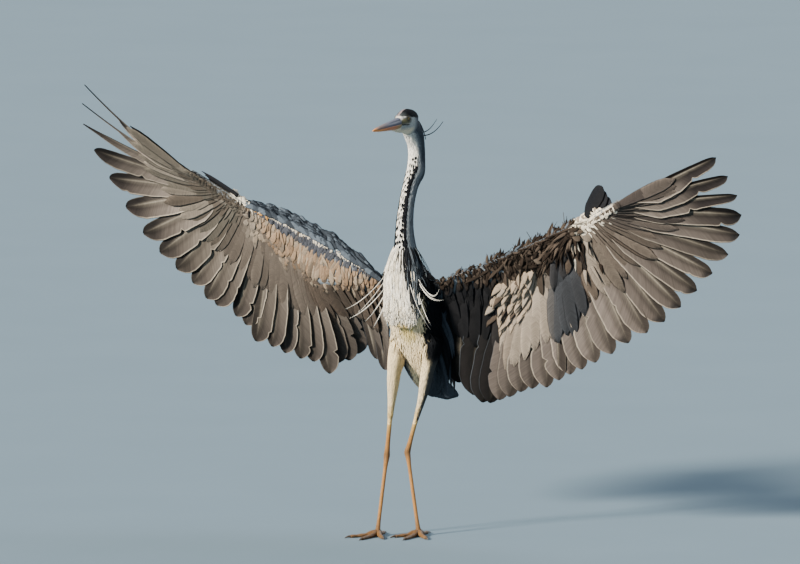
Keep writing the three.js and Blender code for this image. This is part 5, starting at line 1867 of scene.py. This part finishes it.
# ---- Claws ----
# A dark horn claw on each toe, thicker at its root and bent down so that its tip is on the floor.
# The hind toe's is the longest.
CLAW = 15
HIND_LONGER = 1.3
claw_finish = Finish("claw_horn", Specular_IOR_Level=0.5)
grain = claw_finish.noise(claw_finish.place(), 500.0, 4.0)
claw_finish.feeds(
    Base_Color=claw_finish.mix(grain, (*colour("2c2520"), 1), (*colour("5a4a3c"), 1)),
    Roughness=0.3 + grain * 0.25,
)
claw_finish.bump(grain, 0.0002)
for side, leg in LEGS.items():
    for name, (turn, reach) in TOES.items():
        ahead = toe_direction(turn, SIDES[side])
        base = np.array([*leg["foot"][:2], 0])
        length = CLAW * (HIND_LONGER if name == "hind" else 1)
        claw_rows = [
            (*(base + ahead * (reach - 1.5) + (0, 0, 3.4)), 2.4, 2.7),
            (*(base + ahead * (reach + length * 0.3) + (0, 0, 3.5)), 2.0, 2.4),
            (*(base + ahead * (reach + length * 0.7) + (0, 0, 2.2)), 1.2, 1.5),
            (*(base + ahead * (reach + length) + (0, 0, 0.5)), 0.3, 0.4),
        ]
        line = stationed(claw_rows, 0.8)
        rings = elliptic_rings(line[:, :3], line[:, 3:5], np.cross(ahead, (0, 0, 1)), 12)
        rings[..., 2] = np.maximum(rings[..., 2], 0)
        claw = tube(f"toe_claw_{side}_{name}", rings)
        claw.data.materials.append(claw_finish.material)
        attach(claw, "root")
        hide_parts(f"claw_{side}_{name}")

# ---- Studio ----
# A wide pale floor that runs back out of view, soft light from the bird's right and front as from
# a large window, a weaker fill from its left and behind, and a long lens far off.
FLOOR_SIZE = 60
bpy.ops.object.select_all(action="DESELECT")
bpy.ops.mesh.primitive_plane_add(size=FLOOR_SIZE, location=(0, 0, 0))
floor = bpy.context.object
floor.name = "studio_floor"
floor_finish = Finish("pale_floor", Roughness=0.9, Specular_IOR_Level=0.1)
floor_cloud = floor_finish.noise(floor_finish.place(), 3.0)
floor_finish.feeds(Base_Color=floor_finish.mix(floor_cloud, (0.138, 0.2, 0.252, 1), (0.154, 0.218, 0.272, 1)))
floor.data.materials.append(floor_finish.material)

CAMERA_AZIMUTH = math.radians(22)
CAMERA_ELEVATION = math.radians(6)
CAMERA_DISTANCE = 45000
CAMERA_AIM = (-26.9, 535.7)  # millimetres to the right and up from the floor below the shoulders
VIEW_WIDTH = 1696  # millimetres across the view at the bird
SENSOR = 36.0
view_right = np.array([math.cos(CAMERA_AZIMUTH), math.sin(CAMERA_AZIMUTH), 0])
view_back = np.array([
    math.sin(CAMERA_AZIMUTH) * math.cos(CAMERA_ELEVATION),
    -math.cos(CAMERA_AZIMUTH) * math.cos(CAMERA_ELEVATION),
    math.sin(CAMERA_ELEVATION),
])
view_up = np.cross(view_back, view_right)
aim = CAMERA_AIM[0] * view_right + CAMERA_AIM[1] * view_up
lens = bpy.data.cameras.new("studio_camera")
lens.sensor_width = SENSOR
lens.lens = SENSOR * CAMERA_DISTANCE / VIEW_WIDTH
lens.clip_end = 200
camera = bpy.data.objects.new("studio_camera", lens)
camera.location = in_frame(aim + CAMERA_DISTANCE * view_back)
camera.rotation_euler = Vector(-view_back).to_track_quat("-Z", "Y").to_euler()
bpy.context.collection.objects.link(camera)
bpy.context.scene.camera = camera


def studio_light(name, right, near, up, strength, softness, tone):
    lamp = bpy.data.lights.new(name, "SUN")
    lamp.energy = strength
    lamp.angle = math.radians(softness)
    lamp.color = tone
    light = bpy.data.objects.new(name, lamp)
    towards = view_right * right + view_back * near + view_up * up
    light.rotation_euler = Vector(towards).to_track_quat("Z", "Y").to_euler()
    bpy.context.collection.objects.link(light)


studio_light("window_light", -0.9, 0.75, 0.42, strength=12.4, softness=10, tone=(1.0, 0.93, 0.8))
studio_light("fill_light", 0.7, -0.8, 0.9, strength=1.9, softness=60, tone=(0.88, 0.94, 1.0))
world = bpy.data.worlds.new("studio_air")
world.use_nodes = True
world.node_tree.nodes["Background"].inputs[0].default_value = (0.66, 0.74, 0.82, 1)
world.node_tree.nodes["Background"].inputs[1].default_value = 0.55
bpy.context.scene.world = world
